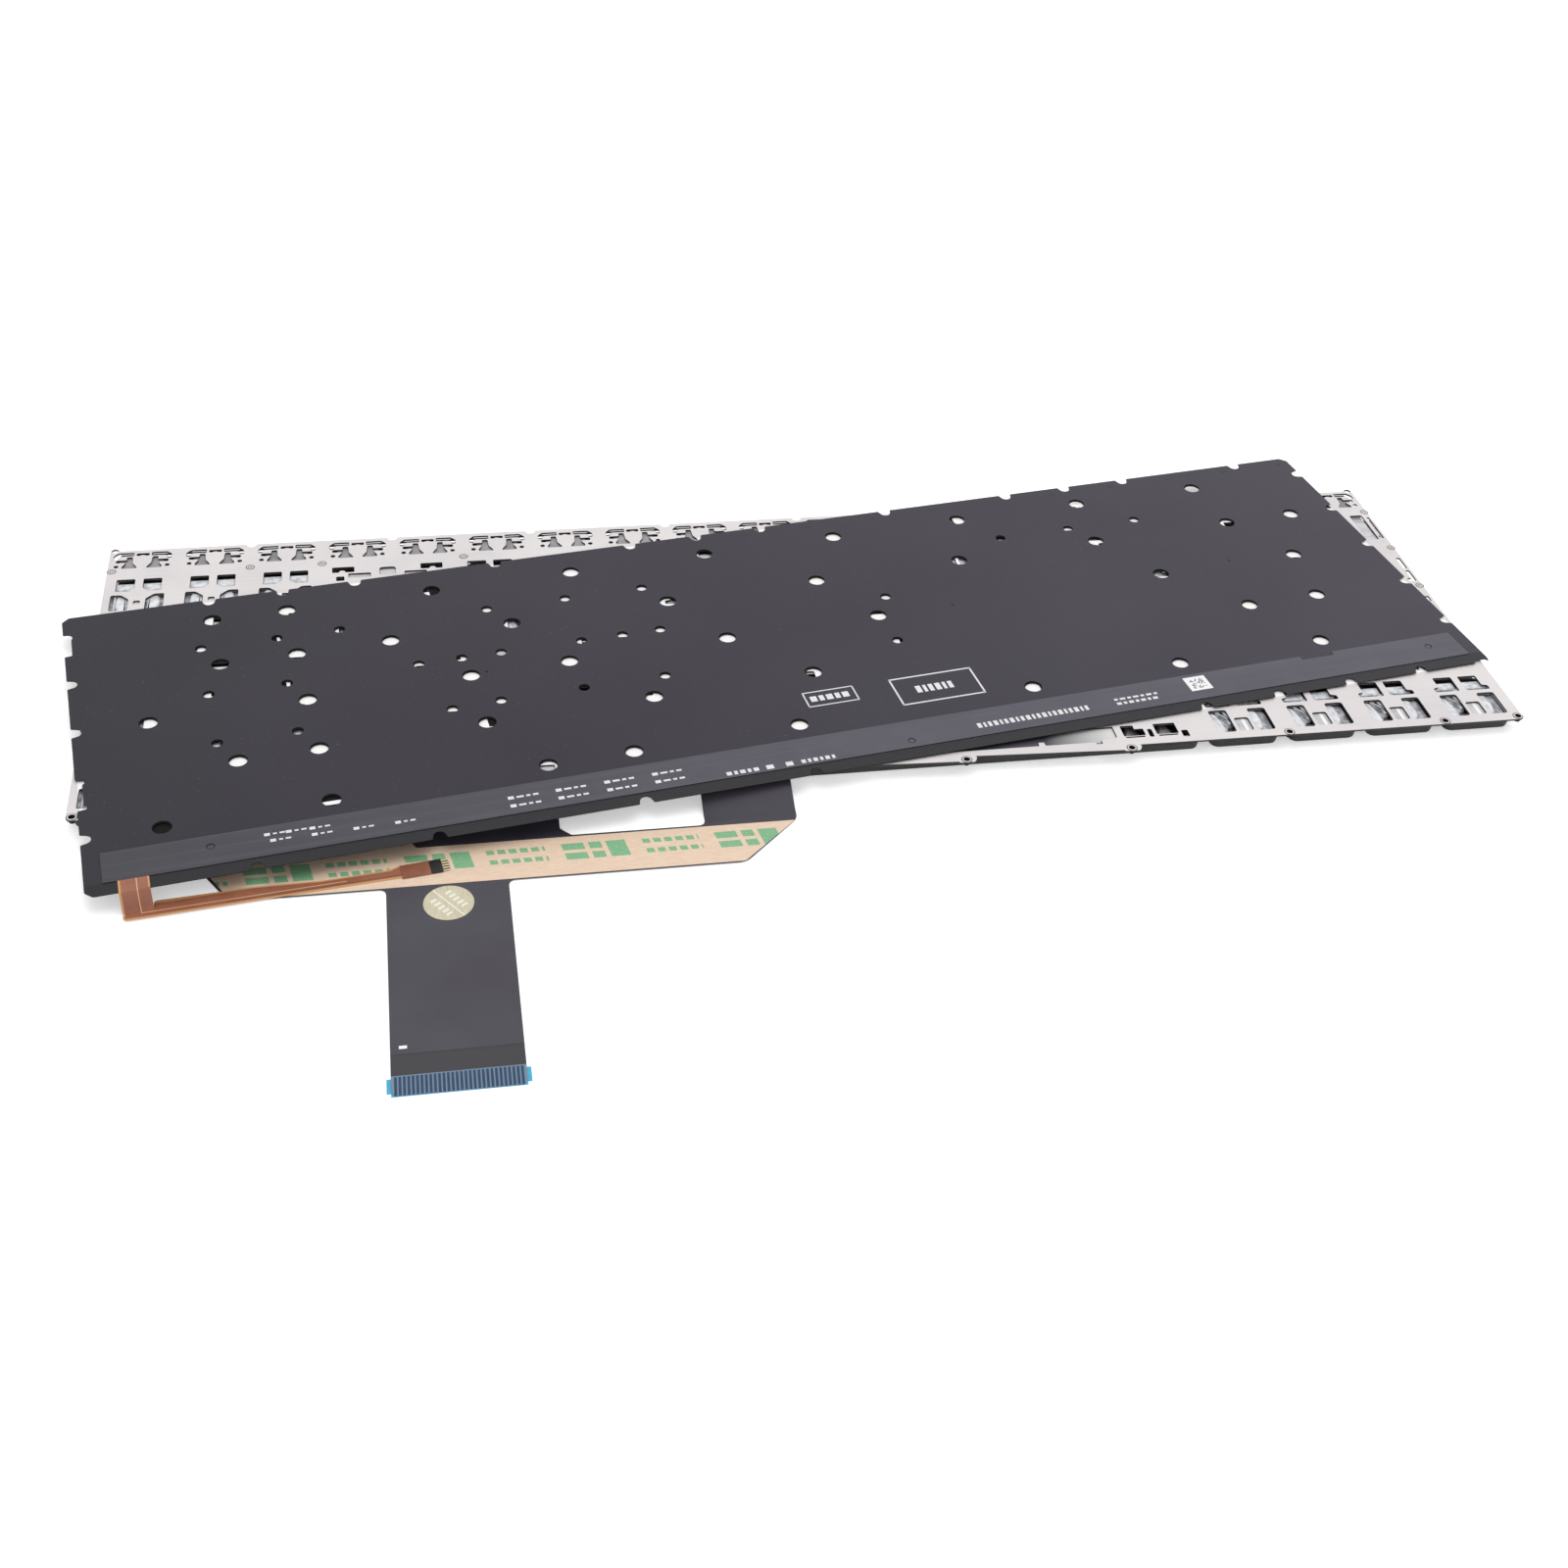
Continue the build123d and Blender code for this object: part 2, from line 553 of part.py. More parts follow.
# A bent wire under the space bar keeps it level.
wire_x = space_key.width / 2 - CAP_WALL - WIRE_CLEARANCE
wire_y = space_key.y - space_key.depth / 2 + CAP_WALL + WIRE_CLEARANCE
wire_outline = Polyline((space_key.x - wire_x, wire_y), (space_key.x + wire_x, wire_y),
                        (space_key.x + wire_x, wire_y + WIRE_ARM),
                        (space_key.x + wire_x - WIRE, wire_y + WIRE_ARM),
                        (space_key.x + wire_x - WIRE, wire_y + WIRE),
                        (space_key.x - wire_x + WIRE, wire_y + WIRE),
                        (space_key.x - wire_x + WIRE, wire_y + WIRE_ARM),
                        (space_key.x - wire_x, wire_y + WIRE_ARM), close=True)
parts["space_bar_wire"] = Pos(0, 0, CAP_ROOF) * extrude(make_face(wire_outline), amount=WIRE)
parts["switch_membrane"] = switch_membrane
parts["support_plate"] = support_plate

# Backlight panel in its own frame: its middle is the origin, and it is drawn as if seated, so its
# holes lie where the plate's key grid has them.
seat_x = PLATE_LENGTH / 2
seat_y = PLATE_DEPTH / 2
PAD_BOUNDARIES = [(column_x(i) + PAD_PITCH / 2) for i in range(PAD_COLUMN_COUNT)]
post_points = []
for index in (1, 2, 4, 6, 8, 10, 12, 14, 16):
    post_points.append((function_x(index) + FUNCTION_PITCH / 2, KEYS_FAR))
for index in (2, 4, 6, 8, 10, 12, 13):
    post_points.append((boundary(NUMBER_ROW, index), NEAR_MARGIN + 4 * ROW_PITCH))
for index in (3, 5, 7, 11, 13):
    post_points.append((boundary(LETTER_ROW, index), NEAR_MARGIN + 3 * ROW_PITCH))
for index in (1, 3, 5, 11, 12):
    post_points.append((boundary(HOME_ROW, index), NEAR_MARGIN + 2 * ROW_PITCH))
for index in (1, 2, 4, 7, 9, 11):
    post_points.append((boundary(SHIFT_ROW, index), NEAR_MARGIN + ROW_PITCH))
post_points.append((boundary(LETTER_ROW, 1), NEAR_MARGIN + 4 * ROW_PITCH))
post_points.append((boundary(HOME_ROW, 1), NEAR_MARGIN + 3 * ROW_PITCH))
for row_index, column_index in ((4, 1), (4, 2), (3, 0), (3, 2), (2, 1), (2, 2), (1, 0), (1, 2)):
    post_points.append((PAD_BOUNDARIES[column_index], NEAR_MARGIN + row_index * ROW_PITCH))

vent_points = []
for key_index, side in ((0, -1), (1, 1), (2, 1), (3, 1), (8, 1), (9, 1), (10, 1)):
    vent_points.append((number_keys[key_index].x + side * VENT_SIDE, row_y(4) - VENT_LOW))
for key_index, side in ((1, -1), (1, 1), (2, -1), (3, -1), (3, 1), (4, -1), (7, -1)):
    vent_points.append((letter_keys[key_index].x + side * VENT_SIDE, row_y(3) - VENT_LOW))
for key_index, side in ((1, -1), (2, -1), (3, -1), (6, -1)):
    vent_points.append((home_keys[key_index].x + side * VENT_SIDE, row_y(2) - VENT_LOW))
for row_index in (2, 3, 4):
    for column_index in (1, 2):
        vent_points.append((column_x(column_index) + VENT_SIDE, row_y(row_index) - VENT_LOW))


def notch(x, y, along, inward):
    half = PANEL_NOTCH_WIDTH / 2
    points = [(-half, -PANEL_NOTCH_DEPTH), (half, -PANEL_NOTCH_DEPTH),
              (half - PANEL_NOTCH_CUT, PANEL_NOTCH_DEPTH), (PANEL_NOTCH_CUT - half, PANEL_NOTCH_DEPTH)]
    turned = [(x + a * along[0] + b * inward[0], y + a * along[1] + b * inward[1]) for a, b in points]
    return make_face(Polyline(*turned, close=True))


half_length = PANEL_LENGTH / 2
half_depth = PANEL_DEPTH / 2
panel_face = Rectangle(PANEL_LENGTH, PANEL_DEPTH)
panel_face = chamfer(panel_face.vertices(), PANEL_CORNER)
notches = []
for index in (2, 4, 6, 8, 10, 12, 14, 16):
    notches.append(notch(function_x(index + 1) - FUNCTION_PITCH / 2 - seat_x + FUNCTION_PITCH,
                         half_depth, (1, 0), (0, -1)))
for index in (0, 1, 7, 13):
    notches.append(notch(function_x(index) + FUNCTION_PITCH * 1.5 - seat_x, half_depth, (1, 0), (0, -1)))
for index in range(1, ROW_COUNT + 1):
    edge_y = NEAR_MARGIN + index * ROW_PITCH - seat_y
    notches.append(notch(half_length, edge_y, (0, 1), (-1, 0)))
    notches.append(notch(-half_length, edge_y, (0, 1), (1, 0)))
near_xs = [PAD_BOUNDARIES[1]] + [boundary(BOTTOM_ROW, index) for index in (1, 6, 7, 8, 9)]
near_xs += [MAIN_RIGHT - units * KEY_PITCH for units in (9, 11)]
for x in near_xs:
    notches.append(notch(x - seat_x, -half_depth, (1, 0), (0, 1)))
for shape in notches:
    panel_face = panel_face - shape
side_cut_y = NEAR_MARGIN + 2 * ROW_PITCH - SIDE_CUT_LOW - seat_y
panel_face = panel_face - Pos(-half_length, side_cut_y) * Rectangle(2 * SIDE_CUT_DEPTH, SIDE_CUT_WIDTH)
panel_outline = panel_face.face().outer_wire()

strip_far_y = STRIP_FAR - half_depth
strip_near_y = STRIP_NEAR - half_depth
strip_x = half_length - STRIP_END_INSET
led_y = LED_FROM_EDGE - half_depth
led_points = [((i - (LED_COUNT - 1) / 2) * LED_PITCH, led_y) for i in range(LED_COUNT)]
led_window = Window(inner=-LED_LENGTH / 2 - LED_CLEARANCE, outer=LED_LENGTH / 2 + LED_CLEARANCE,
                    low=-LED_DEPTH / 2 - LED_CLEARANCE, high=LED_DEPTH / 2 + LED_CLEARANCE)
film_holes = [outline_of(corners(led_window), x, y) for x, y in led_points]
guide_holes = []
for x, y in post_points:
    film_holes.append(regular_hole(x - seat_x, y - seat_y, POST_HOLE, POST_HOLE_SIDE_COUNT))
    side = POST_HOLE + GUIDE_CLEARANCE
    guide_holes.append(outline_of(corners(Window(-side, side, -side, side)), x - seat_x, y - seat_y))
for x, y in vent_points:
    film_holes.append(regular_hole(x - seat_x, y - seat_y, VENT_HOLE, VENT_HOLE_SIDE_COUNT))

# The LEDs shine into the light guide's near edge, so the guide ends just behind them.
panel = {}
guide_border = PANEL_NOTCH_DEPTH + GUIDE_CLEARANCE
guide_x = half_length - guide_border
guide = Window(inner=-guide_x, outer=guide_x, low=led_y + led_window.high, high=half_depth - guide_border)
panel["light_guide"] = sheet(outline_of(corners(guide)), guide_holes, GUIDE_Z, GUIDE_THICKNESS)
panel["backlight_rear_film"] = sheet(panel_outline, film_holes, FILM_Z, FILM_THICKNESS)
strip = block(-strip_x, strip_x, strip_near_y, strip_far_y, STRIP_Z, STRIP_Z + STRIP_THICKNESS)
strip = strip - block(STRIP_NOTCH_X - STRIP_NOTCH_WIDTH / 2, STRIP_NOTCH_X + STRIP_NOTCH_WIDTH / 2,
                      strip_far_y - STRIP_NOTCH_DEPTH, strip_far_y, STRIP_Z, STRIP_Z + STRIP_THICKNESS)
panel["led_strip"] = strip
panel["leds"] = Compound([block(x - LED_LENGTH / 2, x + LED_LENGTH / 2, y - LED_DEPTH / 2,
                                y + LED_DEPTH / 2, GUIDE_Z, STRIP_Z).solid() for x, y in led_points])
label_y = LABEL_FROM_EDGE - half_depth
label_z = STRIP_Z + STRIP_THICKNESS
panel["code_label"] = block(LABEL_X - LABEL_LENGTH / 2, LABEL_X + LABEL_LENGTH / 2,
                            label_y - LABEL_DEPTH / 2, label_y + LABEL_DEPTH / 2,
                            label_z, label_z + LABEL_THICKNESS)


def drop_profile(points_plane, start, flat, run, end, high, low, thickness):
    # A flat stretch, two equal arcs that meet with one tangent, and a flat stretch at the low level.
    height = high - low
    radius = (run * run + height * height) / (4 * height)
    half_turn = atan2(height, run)
    side = 1 if end > start else -1
    edges = []
    for lift in (0, thickness):
        top_a = (start, high + lift)
        top_b = (start + side * flat, high + lift)
        middle = (top_b[0] + side * run / 2, (high + low) / 2 + lift)
        foot_a = (top_b[0] + side * run, low + lift)
        foot_b = (end, low + lift)
        way_a = (top_b[0] + side * radius * sin(half_turn), top_b[1] - radius + radius * cos(half_turn))
        way_b = (foot_a[0] - side * radius * sin(half_turn), foot_a[1] + radius - radius * cos(half_turn))
        edges += [Line(top_a, top_b), ThreePointArc(top_b, way_a, middle),
                  ThreePointArc(middle, way_b, foot_a), Line(foot_a, foot_b)]
    edges.append(Line((start, high), (start, high + thickness)))
    edges.append(Line((end, low), (end, low + thickness)))
    return points_plane * make_face(edges)


# Backlight tail: its leg folds down over the panel's edge, and its arm lies level on the main cable's
# liner, with a narrow waist on the way to its end.
leg_left = TAIL_FROM_END - half_length
leg_right = leg_left + TAIL_LEG_WIDTH
tail_end = leg_left + TAIL_LENGTH
fold_y = -half_depth - TAIL_BEND_OUT
foot_y = fold_y - TAIL_DROP_RUN


def arm_y(x, across):
    return -half_depth - TAIL_ARM_OUT - TAIL_ARM_SLANT * (x - leg_left) / TAIL_LENGTH + across


waist_x = leg_left + TAIL_TAPER_LENGTH
mitre = TAIL_THICKNESS * tan(atan2(STRIP_Z - TAIL_LOW_Z, TAIL_DROP_RUN) / 2)
outer_z = TAIL_LOW_Z + TAIL_THICKNESS
leg_side = make_face(Polyline((strip_near_y, STRIP_Z), (fold_y + mitre, STRIP_Z), (foot_y + mitre, TAIL_LOW_Z),
                              (foot_y - mitre, TAIL_LOW_Z), (foot_y - mitre, outer_z), (foot_y, outer_z),
                              (fold_y, STRIP_Z + TAIL_THICKNESS), (strip_near_y, STRIP_Z + TAIL_THICKNESS), close=True))
arm_plan = make_face(Polyline((leg_left, arm_y(leg_left, 0)), (tail_end, arm_y(tail_end, 0)),
                              (tail_end, arm_y(tail_end, TAIL_END_WIDTH)), (waist_x, arm_y(waist_x, TAIL_WAIST_WIDTH)),
                              (leg_right, arm_y(leg_right, TAIL_ROOT_WIDTH)), (leg_right, foot_y), (leg_left, foot_y),
                              close=True))
tail_corner = arm_plan.vertices().sort_by_distance((leg_left, arm_y(leg_left, 0), 0))[0]
arm_plan = fillet(tail_corner, TAIL_CORNER)
folds = [leg_side.vertices().sort_by_distance(point)[0]
         for point in ((fold_y, STRIP_Z + TAIL_THICKNESS, 0), (fold_y + mitre, STRIP_Z, 0))]
leg_side = fillet(folds, TAIL_BEND)
leg = Pos(leg_left, 0, 0) * extrude(Plane.YZ * leg_side, amount=TAIL_LEG_WIDTH)
panel["backlight_tail"] = leg + Pos(0, 0, TAIL_LOW_Z) * extrude(arm_plan, amount=TAIL_THICKNESS)
tail_top = TAIL_LOW_Z + TAIL_THICKNESS
tail_middle = arm_y(tail_end, TAIL_END_WIDTH / 2)
stiffener_right = tail_end - TAIL_CONTACT_LENGTH
panel["tail_stiffener"] = block(stiffener_right - TAIL_STIFFENER_LENGTH, stiffener_right,
                                tail_middle - TAIL_STIFFENER_WIDTH / 2,
                                tail_middle + TAIL_STIFFENER_WIDTH / 2,
                                tail_top, tail_top + TAIL_STIFFENER_THICKNESS)
tail_contacts = []
for index in range(TAIL_CONTACT_COUNT):
    contact_y = tail_middle + (index - (TAIL_CONTACT_COUNT - 1) / 2) * TAIL_CONTACT_PITCH
    tail_contacts.append(block(stiffener_right, tail_end, contact_y - TAIL_CONTACT_WIDTH / 2,
                               contact_y + TAIL_CONTACT_WIDTH / 2, tail_top,
                               tail_top + CONTACT_THICKNESS).solid())
panel["tail_contacts"] = Compound(tail_contacts)
panel_place = Pos(seat_x + PANEL_SLIDE_X, seat_y + PANEL_SLIDE_Y, 0) * Rot(0, 0, PANEL_TURN)
for name, shape in panel.items():
    parts[name] = panel_place * shape

# Main flat cable: two necks from the membrane's near edge, a cross bar and the tail.
bar_right = RIGHT_NECK_X + RIGHT_NECK_WIDTH / 2
bar_top = -BAR_TOP
bar_low = bar_top - BAR_WIDTH
cable_end = bar_low - CABLE_TAIL_LENGTH
tail_left = CABLE_TAIL_X - CABLE_TAIL_WIDTH / 2
tail_right = CABLE_TAIL_X + CABLE_TAIL_WIDTH / 2
neck_left = LEFT_NECK_X - LEFT_NECK_WIDTH / 2
neck_right = LEFT_NECK_X + LEFT_NECK_WIDTH / 2
right_neck_left = RIGHT_NECK_X - RIGHT_NECK_WIDTH / 2
cable_plan = make_face(Polyline((right_neck_left, MEMBRANE_INSET), (bar_right, MEMBRANE_INSET),
                                (bar_right, bar_top), (bar_right - BAR_RIGHT_CUT, bar_low),
                                (tail_right, bar_low), (tail_right, cable_end), (tail_left, cable_end),
                                (tail_left, bar_low), (BAR_LEFT + BAR_LEFT_CUT, bar_low),
                                (BAR_LEFT, bar_top), (neck_left, bar_top), (neck_left, MEMBRANE_INSET),
                                (neck_right, MEMBRANE_INSET), (neck_right, bar_top + NECK_FLARE),
                                (neck_right + NECK_FLARE, bar_top), (right_neck_left, bar_top),
                                close=True))
inner_corners = [cable_plan.vertices().sort_by_distance((x, bar_low, 0))[0] for x in (tail_left, tail_right)]
cable_plan = fillet(inner_corners, CABLE_INNER_CORNER)
cable_side = drop_profile(Plane.YZ, MEMBRANE_INSET, MEMBRANE_INSET, CABLE_DROP_RUN, cable_end,
                          MEMBRANE_Z, CABLE_Z, CABLE_THICKNESS)
cable_band = Pos(BAR_LEFT, 0, 0) * extrude(cable_side, amount=bar_right - BAR_LEFT)
parts["keyboard_cable"] = cable_band & extrude(cable_plan, amount=2 * MEMBRANE_Z)
liner_plan = make_face(Polyline((BAR_LEFT + LINER_INSET * 2, bar_top - LINER_INSET),
                                (bar_right - LINER_INSET * 2, bar_top - LINER_INSET),
                                (bar_right - BAR_RIGHT_CUT - LINER_INSET, bar_low + LINER_INSET),
                                (BAR_LEFT + BAR_LEFT_CUT + LINER_INSET, bar_low + LINER_INSET),
                                close=True))
parts["cable_adhesive_liner"] = Pos(0, 0, LINER_Z) * extrude(liner_plan, amount=LINER_THICKNESS)
parts["round_sticker"] = Pos(CABLE_TAIL_X, bar_low - STICKER_FROM_BAR, LINER_Z) * extrude(
    Circle(STICKER_RADIUS), amount=STICKER_THICKNESS)
ear_low = cable_end + STIFFENER_EAR_FROM_END
stiffener = block(tail_left, tail_right, cable_end, cable_end + STIFFENER_LENGTH, 0, CABLE_Z)
stiffener = stiffener + block(tail_left - STIFFENER_EAR, tail_right + STIFFENER_EAR, ear_low,
                              ear_low + STIFFENER_EAR_LENGTH, 0, CABLE_Z)
parts["cable_stiffener"] = stiffener
contacts = []
for index in range(CONTACT_COUNT):
    contact_x = CABLE_TAIL_X + (index - (CONTACT_COUNT - 1) / 2) * CONTACT_PITCH
    contacts.append(block(contact_x - CONTACT_WIDTH / 2, contact_x + CONTACT_WIDTH / 2, cable_end,
                          cable_end + CONTACT_LENGTH, LINER_Z, LINER_Z + CONTACT_THICKNESS).solid())
parts["cable_contacts"] = Compound(contacts)

# The origin goes to the bottom centre of the whole.
whole = Compound([solid for shape in parts.values() for solid in shape.solids()]).bounding_box()
ORIGIN_X = (whole.min.X + whole.max.X) / 2
ORIGIN_Y = (whole.min.Y + whole.max.Y) / 2
ORIGIN_Z = whole.min.Z
shift = Pos(-ORIGIN_X, -ORIGIN_Y, -ORIGIN_Z)

os.makedirs("parts", exist_ok=True)
for name, shape in parts.items():
    solids = shape.solids()
    moved = [shift * solid for solid in solids]
    export_step(moved[0] if len(moved) == 1 else Compound(moved), f"parts/{name}.step")
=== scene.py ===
"""A laptop keyboard lying face down with its loose backlight panel on its back, dressed for the render.

Lengths are millimetres, and become metres where a mesh is made. X runs to the viewer's right, Y away
from the viewer and Z up.
"""
import json
from math import cos, pi, radians, sin

import bpy
import numpy as np
from mathutils import Matrix, Vector
from mathutils.geometry import delaunay_2d_cdt

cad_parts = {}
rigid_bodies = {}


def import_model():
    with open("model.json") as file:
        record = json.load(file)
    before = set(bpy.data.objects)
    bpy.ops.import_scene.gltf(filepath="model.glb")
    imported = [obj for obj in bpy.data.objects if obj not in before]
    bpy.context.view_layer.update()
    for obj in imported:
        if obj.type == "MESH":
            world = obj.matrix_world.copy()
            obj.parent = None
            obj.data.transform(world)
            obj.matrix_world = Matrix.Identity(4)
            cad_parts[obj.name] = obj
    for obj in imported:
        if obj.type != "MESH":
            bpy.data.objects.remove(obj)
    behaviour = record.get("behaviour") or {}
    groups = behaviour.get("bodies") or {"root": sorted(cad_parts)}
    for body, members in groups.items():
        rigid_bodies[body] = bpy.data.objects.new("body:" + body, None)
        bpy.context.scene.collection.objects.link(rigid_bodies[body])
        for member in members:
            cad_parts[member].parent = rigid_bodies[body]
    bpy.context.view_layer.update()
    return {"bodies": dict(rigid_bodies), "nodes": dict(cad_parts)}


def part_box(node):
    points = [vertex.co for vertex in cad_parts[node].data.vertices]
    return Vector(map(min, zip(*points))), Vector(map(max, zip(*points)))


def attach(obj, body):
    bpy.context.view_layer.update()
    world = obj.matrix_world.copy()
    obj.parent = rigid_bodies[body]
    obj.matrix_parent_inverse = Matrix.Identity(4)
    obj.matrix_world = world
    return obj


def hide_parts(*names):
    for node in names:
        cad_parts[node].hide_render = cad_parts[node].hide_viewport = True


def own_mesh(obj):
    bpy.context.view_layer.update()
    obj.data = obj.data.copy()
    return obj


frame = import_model()

MM = 0.001

# The key grid, as in the part's source.
KEY_PITCH, ROW_PITCH, PAD_PITCH = 19.3, 18.4, 17.33
FIRST_COLUMN, PAD_GAP, SIDE_MARGIN, NEAR_MARGIN, FAR_MARGIN = 8.0, 0.43, 0.25, 1.6, 0.6
FUNCTION_COUNT, FUNCTION_DEPTH = 19, 10.0
KEY_GAP, ROW_GAP, FUNCTION_GAP = 3.6, 2.2, 1.6
MAIN_UNITS = 14.3
MAIN_LEFT = FIRST_COLUMN + 2.5 * PAD_PITCH + PAD_GAP
MAIN_RIGHT = MAIN_LEFT + MAIN_UNITS * KEY_PITCH
PLATE_LENGTH = MAIN_RIGHT + SIDE_MARGIN
KEYS_FAR = NEAR_MARGIN + 5 * ROW_PITCH
PLATE_DEPTH = KEYS_FAR + FUNCTION_DEPTH + FAR_MARGIN
FUNCTION_PITCH = (PLATE_LENGTH - 2 * FIRST_COLUMN) / (FUNCTION_COUNT - 1)
FUNCTION_Y = KEYS_FAR + FUNCTION_DEPTH / 2
NUMBER_ROW = (1.6,) + 12 * (1.0,) + (0.7,)
LETTER_ROW = (1.1,) + 12 * (1.0,) + (1.2,)
HOME_ROW = (1.9,) + 11 * (1.0,) + (1.4,)
SHIFT_ROW = (2.4,) + 10 * (1.0,) + (1.9,)
BOTTOM_ROW = 5 * (1.0,) + (5.3,) + 4 * (1.0,)
EAR_REACH = 1.9

# Shape of the caps, travel of the keys, levels and edges of the layers.
CAP_ROOF, CAP_CORNER, CAP_SPREAD = 0.8, 2.2, 1.1
CABLE_LOW, CABLE_HIGH = 0.20, 0.32
TAIL_LOW = 0.40
THIN_EDGE, STAMPED_EDGE, LINER_THICKNESS = 0.02, 0.05, 0.08
plate_box = np.array(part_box("support_plate")) / MM
film_box = np.array(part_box("backlight_rear_film")) / MM
PLATE_LOW, PLATE_HIGH = plate_box[:, 2]
FILM_LOW, FILM_HIGH = film_box[:, 2]
STRIP_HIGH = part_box("led_strip")[1][2] / MM
MEMBRANE_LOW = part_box("switch_membrane")[0][2] / MM

# Where the plate's near left corner and the panel's middle lie.
PLATE_X = plate_box[0, 0]
PLATE_Y = plate_box[0, 1] + EAR_REACH
PANEL_MIDDLE = film_box[:, :2].mean(axis=0)
PANEL_TURN = radians(8.43)
PANEL_LENGTH = PLATE_LENGTH - 0.8
PANEL_DEPTH = PLATE_DEPTH - 3.6
HALF_LENGTH, HALF_DEPTH = PANEL_LENGTH / 2, PANEL_DEPTH / 2
POST_HOLE, VENT_HOLE = 2.05, 1.3
GUIDE_HOLE_SHIFT, GUIDE_HOLE_LESS = 0.34, 0.04
SCREW_INSET, SCREW_FAR, LUG_RADIUS, EYELET_HOLE = 1.2, 0.3, 1.1, 0.76

# Backlight tail, from the panel's left end and near edge.
LEG_WIDTH, ARM_LENGTH, ARM_OUT, ARM_SLANT, TAIL_THICKNESS = 6.1, 65.0, 4.0, 1.8, 0.12
LEG_LEFT = 6.5 - HALF_LENGTH
TAIL_END = LEG_LEFT + ARM_LENGTH


# ---------------------------------------------------------------- outlines

def rectangle(x0, x1, y0, y1):
    return np.array([(x0, y0), (x1, y0), (x1, y1), (x0, y1)], float)


def mirrored(points):
    return np.asarray(points, float) * (-1, 1)


def rounded(points, radius, steps=4):
    """Each corner becomes a parabola between the two points that lie the radius away along its edges,
    or 0.45 of the edge where the edge is shorter, with the corner as the parabola's handle."""
    corner = np.asarray(points, float)
    back = np.roll(corner, 1, axis=0) - corner
    ahead = np.roll(corner, -1, axis=0) - corner
    back_length = np.linalg.norm(back, axis=1, keepdims=True)
    ahead_length = np.linalg.norm(ahead, axis=1, keepdims=True)
    reach = np.minimum(np.minimum(radius, 0.45 * back_length), 0.45 * ahead_length)
    start = corner + back / back_length * reach
    end = corner + ahead / ahead_length * reach
    s = np.linspace(0, 1, steps + 1)[None, :, None]
    curve = (1 - s) ** 2 * start[:, None] + 2 * s * (1 - s) * corner[:, None] + s ** 2 * end[:, None]
    return curve.reshape(-1, 2)


def circle(x, y, radius, count=24):
    angle = np.arange(count) * 2 * pi / count
    return np.stack([x + radius * np.cos(angle), y + radius * np.sin(angle)], axis=1)


def divided(points, step):
    """Extra points along every straight run, so that a bent sheet can follow its curve."""
    runs = []
    for a, b in zip(points, np.roll(points, -1, axis=0)):
        count = max(1, int(np.ceil(np.linalg.norm(b - a) / step)))
        runs.append(a + (b - a) * (np.arange(count) / count)[:, None])
    return np.concatenate(runs)


def area_of(points):
    x, y = points[:, 0], points[:, 1]
    return 0.5 * np.sum(x * np.roll(y, -1) - np.roll(x, -1) * y)


def run_left(points, left):
    """The outline, turned so that it runs anticlockwise (left) or clockwise."""
    return points if (area_of(points) > 0) == left else points[::-1]


def inset(points, distance):
    """Every point moves to its left by the distance, square to both edges that meet there."""
    edge = np.roll(points, -1, axis=0) - points
    edge = edge / np.maximum(np.linalg.norm(edge, axis=1, keepdims=True), 1e-9)
    normal = np.stack([-edge[:, 1], edge[:, 0]], axis=1)
    before = np.roll(normal, 1, axis=0)
    shared = np.maximum(1 + np.sum(normal * before, axis=1, keepdims=True), 0.35)
    return points + distance * (normal + before) / shared


def on_plate(points):
    return np.asarray(points, float) + (PLATE_X, PLATE_Y)


def on_panel(points):
    points = np.asarray(points, float)
    c, s = cos(PANEL_TURN), sin(PANEL_TURN)
    turned = np.stack([c * points[..., 0] - s * points[..., 1], s * points[..., 0] + c * points[..., 1]], axis=-1)
    return turned + PANEL_MIDDLE


# ---------------------------------------------------------------- shapes: points and lists of face arrays

def join(shapes):
    points, faces, start = [], [], 0
    for shape_points, shape_faces in shapes:
        points.append(shape_points)
        faces += [array + start for array in shape_faces]
        start += len(shape_points)
    return np.concatenate(points), faces


def moved(shape, x=0.0, y=0.0, z=0.0):
    return shape[0] + (x, y, z), shape[1]


def grid_faces(rings, count):
    """Quads between neighbouring rings of a closed tube, outward when the rings run anticlockwise
    and rise."""
    first = np.arange(count)
    second = np.roll(first, -1)
    quads = np.stack([first, second, second + count, first + count], axis=1)
    return (quads[None] + (np.arange(rings - 1) * count)[:, None, None]).reshape(-1, 4)


